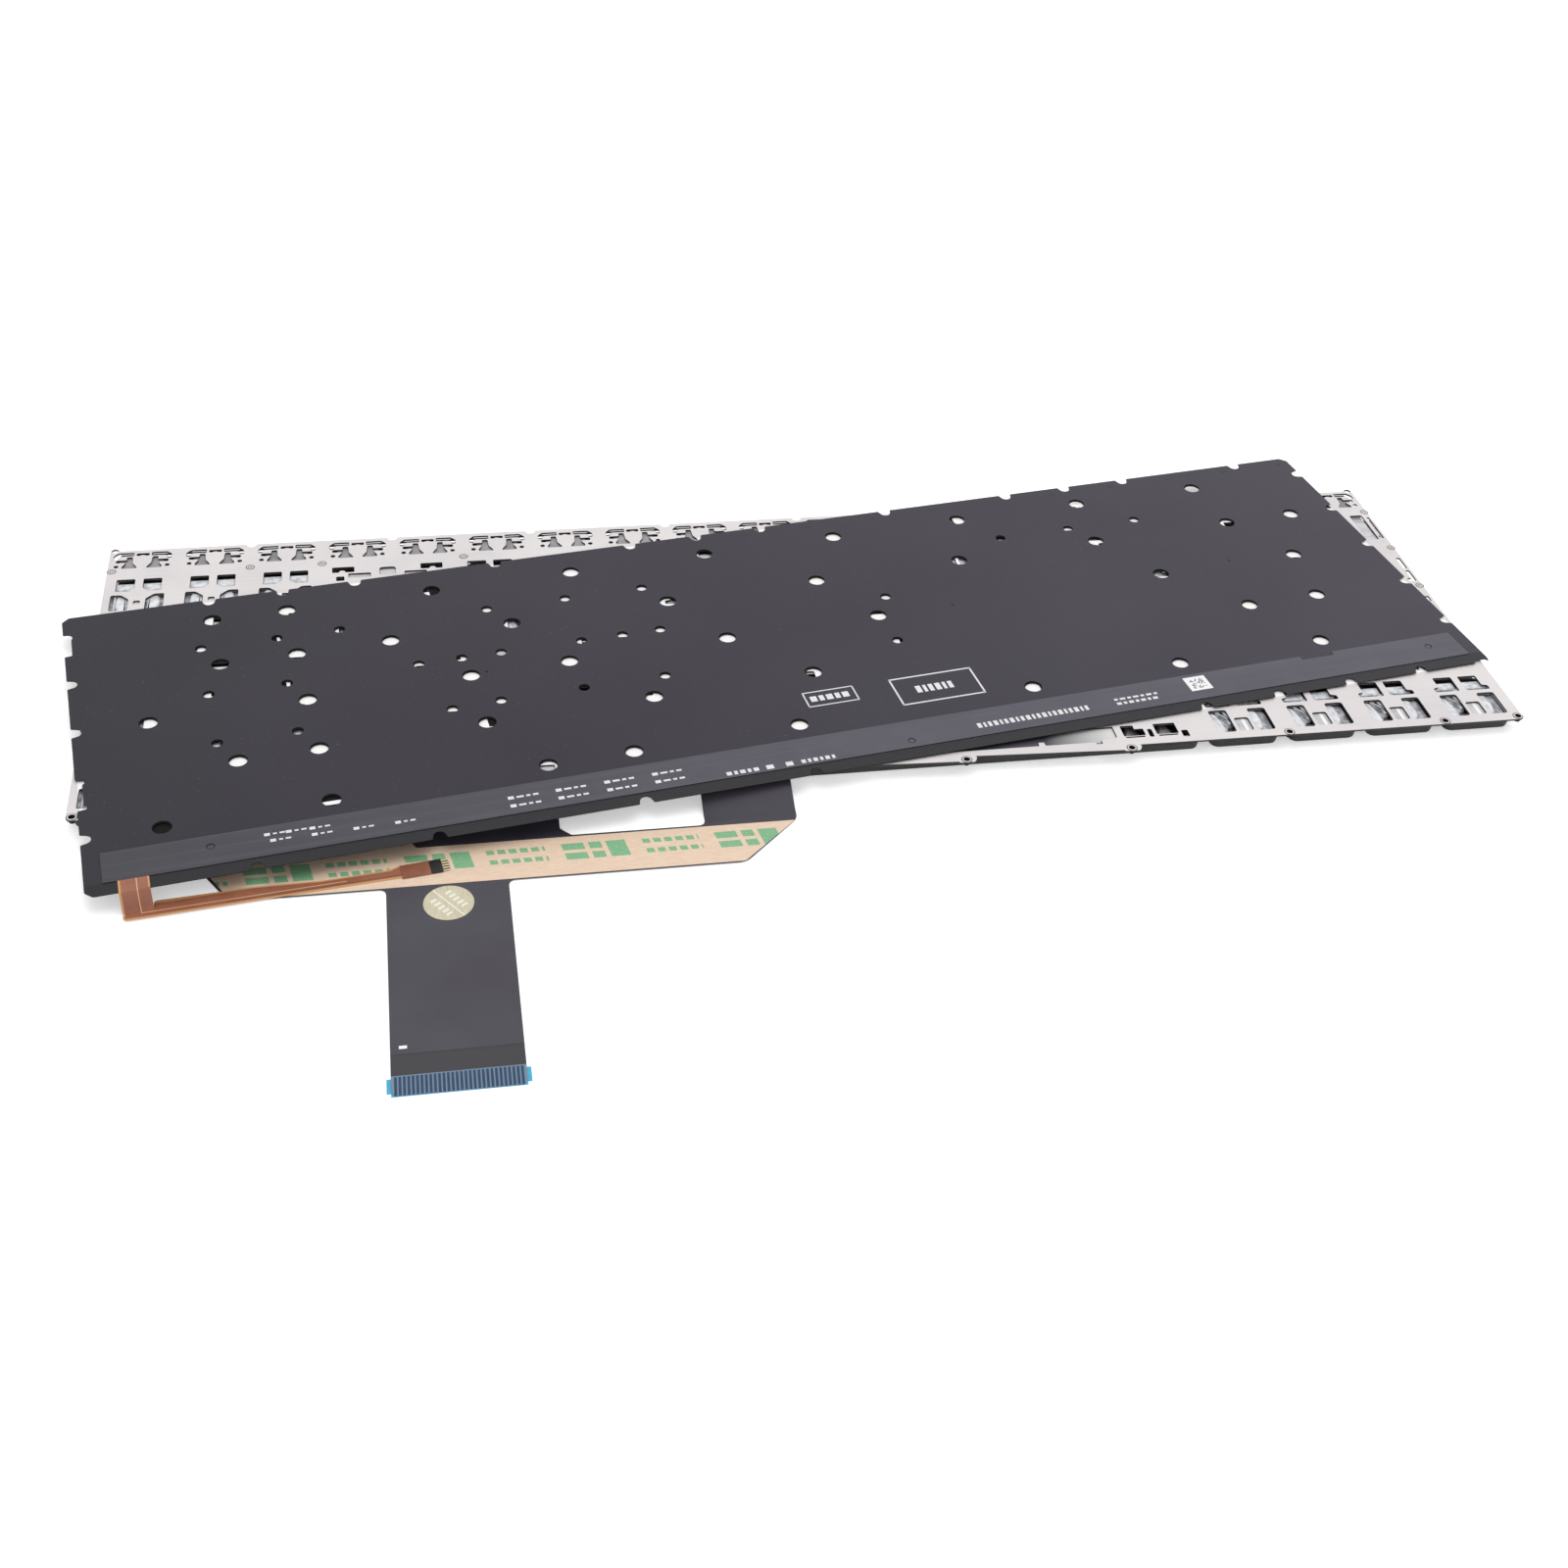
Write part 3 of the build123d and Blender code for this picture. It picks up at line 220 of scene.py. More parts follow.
def pierced_sheet(outline, openings, low, high, edge, inner=None):
    """A flat sheet with openings. Every outline, walked with the sheet on its left, is carried up
    through four rings: in by the edge on the low face, full size a little above it, full size a little
    below the high face, and in by the edge again. The two faces are triangulated between the outer
    ring, the openings and the inner points."""
    loops = [run_left(np.asarray(outline, float), True)]
    loops += [run_left(np.asarray(hole, float), False) for hole in openings]
    counts = [len(loop) for loop in loops]
    full = np.concatenate(loops)
    narrow = np.concatenate([inset(loop, edge) for loop in loops])
    total = len(full)
    start = np.repeat(np.cumsum([0] + counts[:-1]), counts)
    size = np.repeat(counts, counts)
    here = np.arange(total)
    after = start + (here - start + 1) % size
    extra = np.zeros((0, 2)) if inner is None else inner
    flat = np.concatenate([narrow, extra])
    first = np.cumsum([0] + counts[:-1])
    areas = [np.arange(first[0], first[0] + counts[0]).tolist()]
    areas += [np.arange(f, f + n)[::-1].tolist() for f, n in zip(first[1:], counts[1:])]
    found = delaunay_2d_cdt([Vector(p) for p in flat], [], areas, 1, 1e-7)
    source = np.array([names[0] for names in found[3]])
    solid = [names == [0] for names in found[5]]
    triangles = source[np.array(found[2])[solid]]
    a, b, c = (flat[triangles[:, k]] for k in range(3))
    turn = (b[:, 0] - a[:, 0]) * (c[:, 1] - a[:, 1]) - (b[:, 1] - a[:, 1]) * (c[:, 0] - a[:, 0])
    triangles = np.where((turn > 0)[:, None], triangles, triangles[:, ::-1])
    levels = [(narrow, low), (full, low + edge), (full, high - edge), (narrow, high)]
    points = [np.column_stack([ring, np.full(total, z)]) for ring, z in levels]
    points += [np.column_stack([extra, np.full(len(extra), z)]) for z in (low, high)]
    walls = np.stack([here, after, after + total, here + total], axis=1)
    walls = (walls[None] + (np.arange(3) * total)[:, None, None]).reshape(-1, 4)
    low_index = np.concatenate([here, 4 * total + np.arange(len(extra))])
    high_index = np.concatenate([here + 3 * total, 4 * total + len(extra) + np.arange(len(extra))])
    return np.concatenate(points), [walls, high_index[triangles], low_index[triangles][:, ::-1]]


def laid_sheet(place, outline, openings, low, high, edge=THIN_EDGE):
    """A pierced sheet drawn in the plate's or the panel's own plan and then put in its place."""
    return pierced_sheet(place(outline), [place(hole) for hole in openings], low, high, edge)


def grid_points(x, y):
    return np.stack(np.meshgrid(x, y), axis=-1).reshape(-1, 2)


def ringed_shell(rings):
    """A closed shell from rings of equal length; a flat face closes the first and the last ring."""
    count, length = rings.shape[:2]
    faces = [grid_faces(count, length), np.arange(length)[None, ::-1],
             (count - 1) * length + np.arange(length)[None]]
    return rings.reshape(-1, 3), faces


def rounded_rectangle_rings(width, depth, insets, levels, radius, steps=5):
    """Rounded rectangles one above the other: each is the full one drawn in by its inset, at its level,
    with its corner radius lessened by the inset."""
    insets = np.asarray(insets, float)[:, None]
    corner = np.maximum(radius - insets, 0.25)
    angle = (np.arange(4)[:, None] * pi / 2 + np.linspace(0, pi / 2, steps)[None]).reshape(1, -1)
    side_x = np.repeat([1, -1, -1, 1], steps)[None]
    side_y = np.repeat([1, 1, -1, -1], steps)[None]
    x = side_x * (width / 2 - insets - corner) + corner * np.cos(angle)
    y = side_y * (depth / 2 - insets - corner) + corner * np.sin(angle)
    z = np.broadcast_to(np.asarray(levels, float)[:, None], x.shape)
    return np.stack([x, y, z], axis=-1)


def turned_profile(radii, levels, count=20):
    """A profile of radii and levels turned about the Z axis."""
    angle = np.arange(count) * 2 * pi / count
    radii = np.asarray(radii, float)[:, None]
    z = np.broadcast_to(np.asarray(levels, float)[:, None], (len(levels), count))
    return ringed_shell(np.stack([radii * np.cos(angle), radii * np.sin(angle), z], axis=-1))


def turned_ring(radii, levels, count=20):
    """A closed profile of radii and levels turned about the Z axis, which leaves its middle open."""
    angle = np.arange(count) * 2 * pi / count
    radii = np.asarray(radii + radii[:1], float)[:, None]
    levels = np.asarray([*levels, levels[0]], float)[:, None]
    z = np.broadcast_to(levels, (len(levels), count))
    points = np.stack([radii * np.cos(angle), radii * np.sin(angle), z], axis=-1)[:-1]
    faces = grid_faces(len(radii), count) % points[..., 0].size
    return points.reshape(-1, 3), [faces]


def make_piece(name, shape, finish, body="keyboard", stands_for=(), sharp=35, walls=None):
    """An object of the shape that rides on a body. The walls' finish goes to the first array of faces."""
    points, faces = shape
    mesh = bpy.data.meshes.new(name)
    mesh.from_pydata((points * MM).tolist(), [], [face for array in faces for face in array.tolist()])
    mesh.shade_smooth()
    mesh.set_sharp_from_angle(angle=radians(sharp))
    mesh.materials.append(finish.material)
    if walls:
        mesh.materials.append(walls.material)
        mesh.polygons.foreach_set("material_index", (np.arange(len(mesh.polygons)) < len(faces[0])).astype(int))
    piece = bpy.data.objects.new(name, mesh)
    bpy.context.scene.collection.objects.link(piece)
    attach(piece, body)
    if stands_for:
        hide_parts(*stands_for)
    return piece


# ---------------------------------------------------------------- finishes

def paint(red, green, blue):
    """An sRGB colour from 0 to 255 as linear red, green, blue and alpha."""
    value = np.array([red, green, blue]) / 255
    linear = np.where(value <= 0.04045, value / 12.92, ((value + 0.055) / 1.055) ** 2.4)
    return (*linear.tolist(), 1.0)


class Field:
    """A shader socket that takes part in Python arithmetic; every operator adds one Math node."""

    def __init__(self, nodes, socket):
        self.nodes = nodes
        self.socket = socket

    def math(self, operation, *values):
        return self.nodes.node("ShaderNodeMath", {"operation": operation}, dict(enumerate(values)))

    def __add__(self, other):
        return self.math("ADD", self, other)

    def __radd__(self, other):
        return self.math("ADD", other, self)

    def __sub__(self, other):
        return self.math("SUBTRACT", self, other)

    def __rsub__(self, other):
        return self.math("SUBTRACT", other, self)

    def __mul__(self, other):
        return self.math("MULTIPLY", self, other)

    def __rmul__(self, other):
        return self.math("MULTIPLY", other, self)

    def __truediv__(self, other):
        return self.math("DIVIDE", self, other)

    def __lt__(self, other):
        return self.math("LESS_THAN", self, other)

    def __gt__(self, other):
        return self.math("GREATER_THAN", self, other)

    def __abs__(self):
        return self.math("ABSOLUTE", self)

    def __mod__(self, other):
        return self.math("FLOORED_MODULO", self, other)

    def most(self, other):
        return self.math("MAXIMUM", self, other)

    def floor(self):
        return self.math("FLOOR", self)


class Nodes:
    """A node tree whose nodes all come from the method node."""

    def __init__(self, tree):
        self.tree = tree

    def node(self, kind, settings=None, sockets=None, output=0):
        made = self.tree.nodes.new(kind)
        for name, value in (settings or {}).items():
            setattr(made, name, value)
        for key, value in (sockets or {}).items():
            self.feed(made.inputs[key], value)
        return Field(self, made.outputs[output])

    def feed(self, socket, value):
        if isinstance(value, Field):
            self.tree.links.new(value.socket, socket)
        else:
            socket.default_value = value

    def mix(self, factor, first, second):
        return self.node("ShaderNodeMix", {"data_type": "RGBA"}, {0: factor, 6: first, 7: second}, output=2)

    def seen(self):
        """One on a ray from the camera, off a glossy surface or through a clear one, and zero on others."""
        camera, glossy, clear = (self.node("ShaderNodeLightPath", output=f"Is {kind} Ray")
                                 for kind in ("Camera", "Glossy", "Transmission"))
        return camera.most(glossy).most(clear)


class Finish(Nodes):
    """One surface finish: a material with a principled shader."""

    def __init__(self, name, **constants):
        self.material = bpy.data.materials.new(name)
        self.material.use_nodes = True
        super().__init__(self.material.node_tree)
        self.shader = self.tree.nodes["Principled BSDF"]
        self.surface(**constants)

    def surface(self, **links):
        for socket, value in links.items():
            self.feed(self.shader.inputs[socket.replace("_", " ")], value)
        return self

    def millimetres(self, panel=False):
        """Object coordinates in millimetres, counted from the plate's near left corner, or from the
        panel's middle and along it."""
        place = self.node("ShaderNodeTexCoord", output="Object")
        scaled = self.node("ShaderNodeVectorMath", {"operation": "SCALE"}, {0: place, "Scale": 1000.0})
        shift = (*PANEL_MIDDLE, 0.0) if panel else (PLATE_X, PLATE_Y, 0.0)
        turn = (0.0, 0.0, PANEL_TURN if panel else 0.0)
        return self.node("ShaderNodeMapping", {"vector_type": "TEXTURE"},
                         {"Vector": scaled, "Location": shift, "Rotation": turn})

    def parts_of(self, vector, letters="XY"):
        return [self.node("ShaderNodeSeparateXYZ", None, {0: vector}, output=letter) for letter in letters]

    def noise(self, place, scale, detail=3.0, roughness=0.5, stretch=None):
        if stretch:
            place = self.node("ShaderNodeVectorMath", {"operation": "MULTIPLY"}, {0: place, 1: stretch})
        return self.node("ShaderNodeTexNoise", None,
                         {"Vector": place, "Scale": scale, "Detail": detail, "Roughness": roughness})

    def spread(self, value, low, high, first=0.0, second=1.0):
        return self.node("ShaderNodeMapRange", None, {"Value": value, "From Min": low, "From Max": high,
                                                      "To Min": first, "To Max": second})

    def between(self, noise, first=0.0, second=1.0):
        """The range in which most of a noise lies, spread from the first value to the second."""
        return self.spread(noise, 0.3, 0.7, first, second)

    def shades(self, noise, first, second):
        return self.mix(self.between(noise), paint(*first), paint(*second))

    def bump(self, height, strength, distance):
        return self.node("ShaderNodeBump", None,
                         {"Height": height, "Strength": strength, "Distance": distance})


def textured_finish(name, first, second, scale, rough, grain_scale, grain=0.1, panel=False, **constants):
    """Two close shades mixed by broad noise, with fine grain in the bump and the roughness."""
    finish = Finish(name, **constants)
    place = finish.millimetres(panel)
    cloud = finish.between(finish.noise(place, scale))
    fine = finish.noise(place, grain_scale, detail=2.0)
    return finish.surface(Base_Color=finish.mix(cloud, paint(*first), paint(*second)),
                          Roughness=rough + 0.12 * (fine - 0.5),
                          Normal=finish.bump(fine, grain, 0.00004))


cap_plastic = textured_finish("black cap plastic", (30, 28, 31), (40, 38, 41), 0.15, 0.55, 3.0, 0.35)
rivet_rim = textured_finish("tarnished rivet rim", (66, 53, 49), (84, 68, 63), 0.9, 0.4, 3.0)
eyelet_shade = textured_finish("eyelet groove", (84, 80, 80), (66, 63, 63), 0.9, 0.5, 3.0)
hook_plastic = textured_finish("grey hook plastic", (150, 148, 152), (118, 116, 120), 0.5, 0.45, 3.0)
# Painted shade: the plate's window walls and outer edges are painted dark to stand for the shade on them.
window_wall_shade = textured_finish("sheared window edge", (48, 45, 45), (36, 34, 34), 0.9, 0.5, 4.0, Metallic=0.3)
# Black for the cut edges of the black films, and also painted shade: on the light guide's hole walls, down the eyelet
# bores and on the plate's dark patches.
black_edge_and_shade = textured_finish("black cut edge", (9, 9, 10), (14, 13, 15), 0.7, 0.75, 4.0, Specular_IOR_Level=0.2)
black_ink = textured_finish("black print ink", (24, 23, 26), (32, 31, 34), 0.7, 0.5, 4.0, panel=True)
dome_rubber = textured_finish("dome rubber", (205, 208, 212), (186, 190, 196), 0.8, 0.6, 2.0)
wire_steel = textured_finish("wire steel", (170, 170, 172), (140, 140, 143), 0.8, 0.3, 4.0, Metallic=1.0)
# Painted shade: the clear light guide is painted near black, so that where it shows at the far side of each panel hole
# it reads as the shaded crescent.
guide_painted_shade = textured_finish("smoked light guide edge", (10, 10, 11), (14, 13, 15), 0.3, 0.75, 2.0,
                                Specular_IOR_Level=0.2)
led_resin = textured_finish("led resin", (238, 226, 170), (228, 214, 150), 0.8, 0.4, 2.0)
print_ink = textured_finish("white print ink", (232, 232, 234), (218, 218, 222), 0.7, 0.55, 4.0, panel=True)
stiffener_film = textured_finish("cyan stiffener film", (78, 178, 214), (66, 164, 204), 0.4, 0.4, 2.0)
contact_metal = textured_finish("dark contact finish", (20, 52, 86), (30, 64, 98), 0.5, 0.35, 3.0)
tail_contact_metal = textured_finish("gilt tail contact finish", (222, 204, 168), (202, 182, 146), 0.7, 0.4, 3.0,
                                     panel=True)


def scissor_shaded_finish():
    """Milky plastic: pale and mottled on its raised parts, and greyer the lower it lies, a painted shade."""
    finish = Finish("milky scissor plastic")
    place = finish.millimetres()
    [z] = finish.parts_of(place, "Z")
    mottle = finish.noise(place, 0.7, detail=3.0)
    # Painted shade: the lower the plastic lies, the greyer it is painted.
    height = finish.spread(z + 0.9 * (mottle - 0.5), 2.55, 3.35)
    low = finish.mix(finish.spread(mottle, 0.35, 0.65), paint(120, 122, 128), paint(160, 162, 168))
    high = finish.mix(finish.spread(mottle, 0.35, 0.65), paint(208, 210, 215), paint(238, 239, 242))
    return finish.surface(Base_Color=finish.mix(height, low, high),
                          Roughness=finish.between(mottle, 0.28, 0.4))


def plate_finish():
    """Satin metal: a warm silver with faint rolling lines along the plate and small cloudy stains, and
    painted brighter under the backlight panel, a painted light that offsets the shade in the panel's holes."""
    finish = Finish("satin plate metal", Metallic=0.5)
    place = finish.millimetres()
    lines = finish.noise(place, 1.0, detail=4.0, stretch=(0.05, 2.4, 1.0))
    cloud = finish.noise(place, 0.06, detail=4.0)
    warm = finish.shades(cloud, (229, 224, 224), (216, 211, 212))
    colour = finish.mix(finish.spread(lines, 0.35, 0.65, 0.0, 0.35), warm, paint(235, 231, 231))
    # Painted light: the plate is near white where the panel covers it, so that its holes look bright.
    along, across = finish.parts_of(finish.millimetres(panel=True))
    painted_light_under_panel = (abs(along) < HALF_LENGTH - 0.4) * (abs(across) < HALF_DEPTH - 0.4)
    return finish.surface(Base_Color=finish.mix(painted_light_under_panel, colour, paint(254, 253, 252)),
                          Roughness=finish.between(lines, 0.42, 0.54),
                          Normal=finish.bump(lines, 0.06, 0.00003))


def film_finish():
    """Matt black film, with a painted sheen that makes it a little greyer towards its right end, blacker
    along its near border, with a faint drift, dust specks and fine grain."""
    finish = Finish("black backlight film", Specular_IOR_Level=0.3)
    place = finish.millimetres(panel=True)
    drift = finish.between(finish.noise(place, 0.02, detail=3.0))
    x, y = finish.parts_of(place)
    # Painted sheen: both the open film and its border grow greyer towards the right end.
    dark = finish.mix(drift, paint(38, 36, 44), paint(44, 42, 50))
    light = finish.mix(drift, paint(58, 54, 64), paint(64, 60, 70))
    open_film_with_sheen = finish.mix(finish.spread(x, -HALF_LENGTH, HALF_LENGTH), dark, light)
    border = finish.mix(finish.spread(x, -HALF_LENGTH, HALF_LENGTH), paint(31, 30, 34), paint(43, 42, 47))
    base = finish.mix(y < 3.7 - HALF_DEPTH, open_film_with_sheen, border)
    dust = finish.noise(place, 1.6, detail=1.0)
    specks = finish.spread(dust, 0.74, 0.78)
    fine = finish.noise(place, 5.0, detail=2.0)
    return finish.surface(Base_Color=finish.mix(specks * 0.25, base, paint(120, 118, 122)),
                          Roughness=finish.between(fine, 0.46, 0.56),
                          Normal=finish.bump(fine, 0.12, 0.00003))


def strip_finish():
    """Dark solder mask film with buried tracks: faint lighter bands along the strip."""
    finish = Finish("led strip film")
    place = finish.millimetres(panel=True)
    [x] = finish.parts_of(place, "X")
    bands = finish.noise(place, 1.0, detail=2.0, stretch=(0.01, 0.8, 1.0))
    blotch = finish.noise(place, 0.12, detail=3.0)
    dark = finish.shades(blotch, (46, 45, 53), (52, 51, 59))
    light = finish.shades(blotch, (70, 69, 80), (77, 76, 87))
    base = finish.mix(finish.spread(x, -HALF_LENGTH, 0.0), dark, light)
    colour = finish.mix(finish.spread(bands, 0.4, 0.7, 0.0, 0.25), base, paint(88, 87, 98))
    fine = finish.noise(place, 4.0, detail=2.0)
    return finish.surface(Base_Color=colour, Roughness=finish.between(fine, 0.36, 0.46),
                          Normal=finish.bump(bands, 0.15, 0.00004))


def cable_finish(end_y):
    """Dark cover film, with the bright blue base film bare between the contacts at the end."""
    finish = Finish("cable film")
    place = finish.millimetres()
    x, y = finish.parts_of(place)
    drift = finish.between(finish.noise(place, 0.05, detail=3.0))
    base = finish.mix(drift, paint(57, 54, 63), paint(67, 65, 74))
    thick = finish.mix((y < end_y + 10.0) * 0.8, base, paint(50, 48, 52))
    seam = finish.mix((abs(y - (end_y + 10.1)) < 0.25) * 0.6, thick, paint(34, 32, 36))
    mark = (abs(x - 67.0) < 0.75) * (abs(y - (end_y + 12.0)) < 0.4)
    bare = y < end_y + 4.9
    marked = finish.mix(mark, seam, paint(245, 245, 245))
    fine = finish.noise(place, 4.0, detail=2.0)
    return finish.surface(Base_Color=finish.mix(bare, marked, paint(112, 134, 154)),
                          Roughness=finish.between(fine, 0.38, 0.48),
                          Normal=finish.bump(fine, 0.1, 0.00003))


def tail_finish():
    """Amber film with copper between its margins, and one pale track that turns from the leg into the arm."""
    finish = Finish("copper tail film")
    place = finish.millimetres(panel=True)
    x, y = finish.parts_of(place)
    along = x - LEG_LEFT
    across = y + (HALF_DEPTH + ARM_OUT) + along * (ARM_SLANT / ARM_LENGTH)
    in_arm = along > LEG_WIDTH
    waist = finish.spread(along, 26.0, 39.0, 4.2, 2.9)
    far_edge = finish.spread(along, 53.0, 55.1, waist, 3.8)
    margin = (across < 0.5).most(in_arm * (across > far_edge - 0.35))
    margin = margin.most((along < 0.45).most((1.0 - in_arm) * (along > 5.75) * (across > 4.4)))
    trace = (abs(along - 3.6) < 0.09) * (across > 1.6)
    trace = trace.most((abs(across - 1.6) < 0.09) * (along > 3.6) * (along < 44.0))
    band = (abs(across - 0.95) < 0.22) * (along > 20.0)
    cloud = finish.between(finish.noise(place, 0.25, detail=3.0))
    copper = finish.mix(cloud, paint(146, 89, 67), paint(160, 102, 78))
    edged = finish.mix(margin, copper, paint(204, 152, 98))
    banded = finish.mix(band * 0.6, edged, paint(118, 72, 52))
    ended = finish.mix(along > 62.6, finish.mix(trace, banded, paint(222, 180, 138)), paint(52, 44, 40))
    fine = finish.noise(place, 4.0, detail=2.0)
    return finish.surface(Base_Color=ended,
                          Roughness=finish.between(fine, 0.36, 0.48),
                          Normal=finish.bump(fine, 0.1, 0.00003))


def tail_end_finish():
    """A brown stiffener that ends in a black band."""
    finish = Finish("tail stiffener film")
    place = finish.millimetres(panel=True)
    [x] = finish.parts_of(place, "X")
    cloud = finish.between(finish.noise(place, 0.4, detail=3.0))
    brown = finish.mix(cloud, paint(132, 80, 58), paint(146, 92, 68))
    fine = finish.noise(place, 4.0, detail=2.0)
    return finish.surface(Base_Color=finish.mix(x > TAIL_END - 4.0, brown, paint(26, 24, 25)),
                          Roughness=finish.between(fine, 0.4, 0.52))


def liner_finish():
    """Tan release paper with rows of plain green blocks and dashes, fibres and a slight sheen."""
    finish = Finish("release liner paper")
    place = finish.millimetres()
    x, y = finish.parts_of(place)
    fibre = finish.noise(place, 1.2, detail=4.0, stretch=(0.5, 2.0, 1.0))
    paper = finish.shades(fibre, (236, 211, 188), (226, 198, 172))
    u, v = 0.98 * x + 0.2 * y, 0.98 * y - 0.2 * x
    cell, rise = u % 32.0, (v + 0.2 * u) % 14.0
    blocks = (cell < 4.6).most((cell > 5.6) * (cell < 8.2)).most((cell > 9.2) * (cell < 13.2))
    blocks = blocks * (abs(rise - 10.0) < 2.6)
    blocks = blocks * (1.0 - (abs(rise - 10.0) < 0.5) * (cell < 8.2))
    lines = (cell > 16.0) * (cell < 28.5) * ((u % 2.3) < 1.6) * (abs(abs(rise - 10.0) - 1.6) < 0.7)
    bars = blocks.most(lines)
    ink = finish.spread(finish.noise(place, 2.5, detail=2.0), 0.25, 0.5, 0.55, 0.95)
    return finish.surface(Base_Color=finish.mix(bars * ink, paper, paint(110, 178, 132)),
                          Roughness=finish.between(fibre, 0.42, 0.56),
                          Normal=finish.bump(fibre, 0.12, 0.00004))


def sticker_finish(centre):
    """Pale gold foil with a light line across its middle and two rows of plain bars."""
    finish = Finish("round sticker foil", Metallic=0.35)
    place = finish.millimetres()
    x, y = finish.parts_of(place)
    u = (x - centre[0]) * 0.8 + (y - centre[1]) * 0.6
    v = (y - centre[1]) * 0.8 - (x - centre[0]) * 0.6
    line = abs(u) < 0.16
    row = abs(abs(u) - 1.9) < 0.75
    bar = ((v + 20.0) % 1.3) < 0.8
    marks = line.most(row * bar * (abs(v) < 2.9))
    brushed = finish.noise(place, 1.0, detail=3.0, stretch=(3.0, 0.4, 1.0))
    foil = finish.shades(brushed, (218, 210, 184), (200, 191, 164))
    return finish.surface(Base_Color=finish.mix(marks * 0.8, foil, paint(244, 240, 226)),
                          Roughness=finish.between(brushed, 0.34, 0.48))


def membrane_finish():
    """Clear grey film with darker tracks, greyer under the function row, black along the far edge as painted shade
    under the function row's slots, pale strips between the bottom row's windows and a painted shade that falls to the
    left under the space bar."""
    finish = Finish("switch membrane film")
    place = finish.millimetres()
    x, y = finish.parts_of(place)
    tracks = finish.noise(place, 0.5, detail=2.0, stretch=(0.3, 1.6, 1.0))
    cloud = finish.noise(place, 0.25, detail=3.0)
    pale = finish.shades(cloud, (184, 184, 188), (216, 216, 219))
    grey = finish.shades(cloud, (120, 120, 124), (160, 159, 163))
    tracked = finish.mix(finish.spread(tracks, 0.54, 0.62, 0.0, 0.35), finish.mix(y > 90.0, pale, grey),
                         paint(140, 141, 146))
    space_x = MAIN_LEFT + (5 + 5.3 / 2) * KEY_PITCH
    shade = finish.mix(finish.spread(x, space_x + 13.0, space_x + 29.0), paint(66, 65, 72), paint(220, 219, 218))
    shaded = finish.mix((abs(x - space_x) < 30.0) * (y < 9.0), tracked, shade)
    strip = (abs((x - MAIN_RIGHT) % KEY_PITCH - 0.5 * KEY_PITCH - 0.5) < 0.4) * (y < 9.0) * (x > space_x + 52.0)
    striped = finish.mix(strip, shaded, paint(246, 246, 246))
    # Painted shade: the membrane is black along its far edge, under the function row's slots.
    return finish.surface(Base_Color=finish.mix(y > 101.2, striped, paint(16, 15, 17)),
                          Roughness=finish.between(cloud, 0.3, 0.42))


def label_finish(middle):
    """White paper with a plain scatter of small dark cells, which stands for no code."""
    finish = Finish("cell label paper")
    place = finish.millimetres(panel=True)
    x, y = finish.parts_of(place)
    column = ((x - middle[0]) / 0.36).floor()
    row = ((y - middle[1]) / 0.36).floor()
    cell = finish.node("ShaderNodeCombineXYZ", None, {0: column, 1: row, 2: 0.0})
    chance = finish.node("ShaderNodeTexWhiteNoise", {"noise_dimensions": "2D"}, {"Vector": cell})
    inside = (abs(x - middle[0]) < 1.8) * (abs(y - middle[1]) < 1.8)
    cells = (chance > 0.62) * inside
    fibre = finish.noise(place, 4.0, detail=2.0)
    return finish.surface(Base_Color=finish.mix(cells, paint(240, 240, 241), paint(120, 122, 128)),
                          Roughness=finish.between(fibre, 0.5, 0.62))


plate_metal = plate_finish()
scissor_plastic_and_shade = scissor_shaded_finish()
backlight_film = film_finish()
strip_film = strip_finish()
membrane_film = membrane_finish()
liner_paper = liner_finish()


# ---------------------------------------------------------------- keys

def row_y(index):
    return NEAR_MARGIN + (index + 0.5) * ROW_PITCH


def boundary(row, index):
    return MAIN_LEFT + sum(row[:index]) * KEY_PITCH


def row_keys(row, index):
    """Middle and size of every key of a row: x, y, width, depth."""
    ends = MAIN_LEFT + np.cumsum((0,) + row) * KEY_PITCH
    middle = (ends[1:] + ends[:-1]) / 2
    return [(x, row_y(index), units * KEY_PITCH - KEY_GAP, ROW_PITCH - ROW_GAP) for x, units in zip(middle, row)]


def function_x(index):
    return FIRST_COLUMN + index * FUNCTION_PITCH


def column_x(index):
    return FIRST_COLUMN + index * PAD_PITCH


number_keys, letter_keys = row_keys(NUMBER_ROW, 4), row_keys(LETTER_ROW, 3)
home_keys, shift_keys, bottom_keys = row_keys(HOME_ROW, 2), row_keys(SHIFT_ROW, 1), row_keys(BOTTOM_ROW, 0)
pad_keys = [(column_x(c), row_y(r), PAD_PITCH - KEY_GAP, ROW_PITCH - ROW_GAP) for r in range(5) for c in range(3)]
function_keys = [(function_x(c), FUNCTION_Y, FUNCTION_PITCH - KEY_GAP, FUNCTION_DEPTH - FUNCTION_GAP)
                 for c in range(FUNCTION_COUNT)]
fixed_rows = {"letter_row_keys": letter_keys, "number_row_keys": number_keys, "number_pad_keys": pad_keys,
              "function_row_keys": function_keys}
moving_names = [body for body in frame["bodies"] if body != "keyboard"]


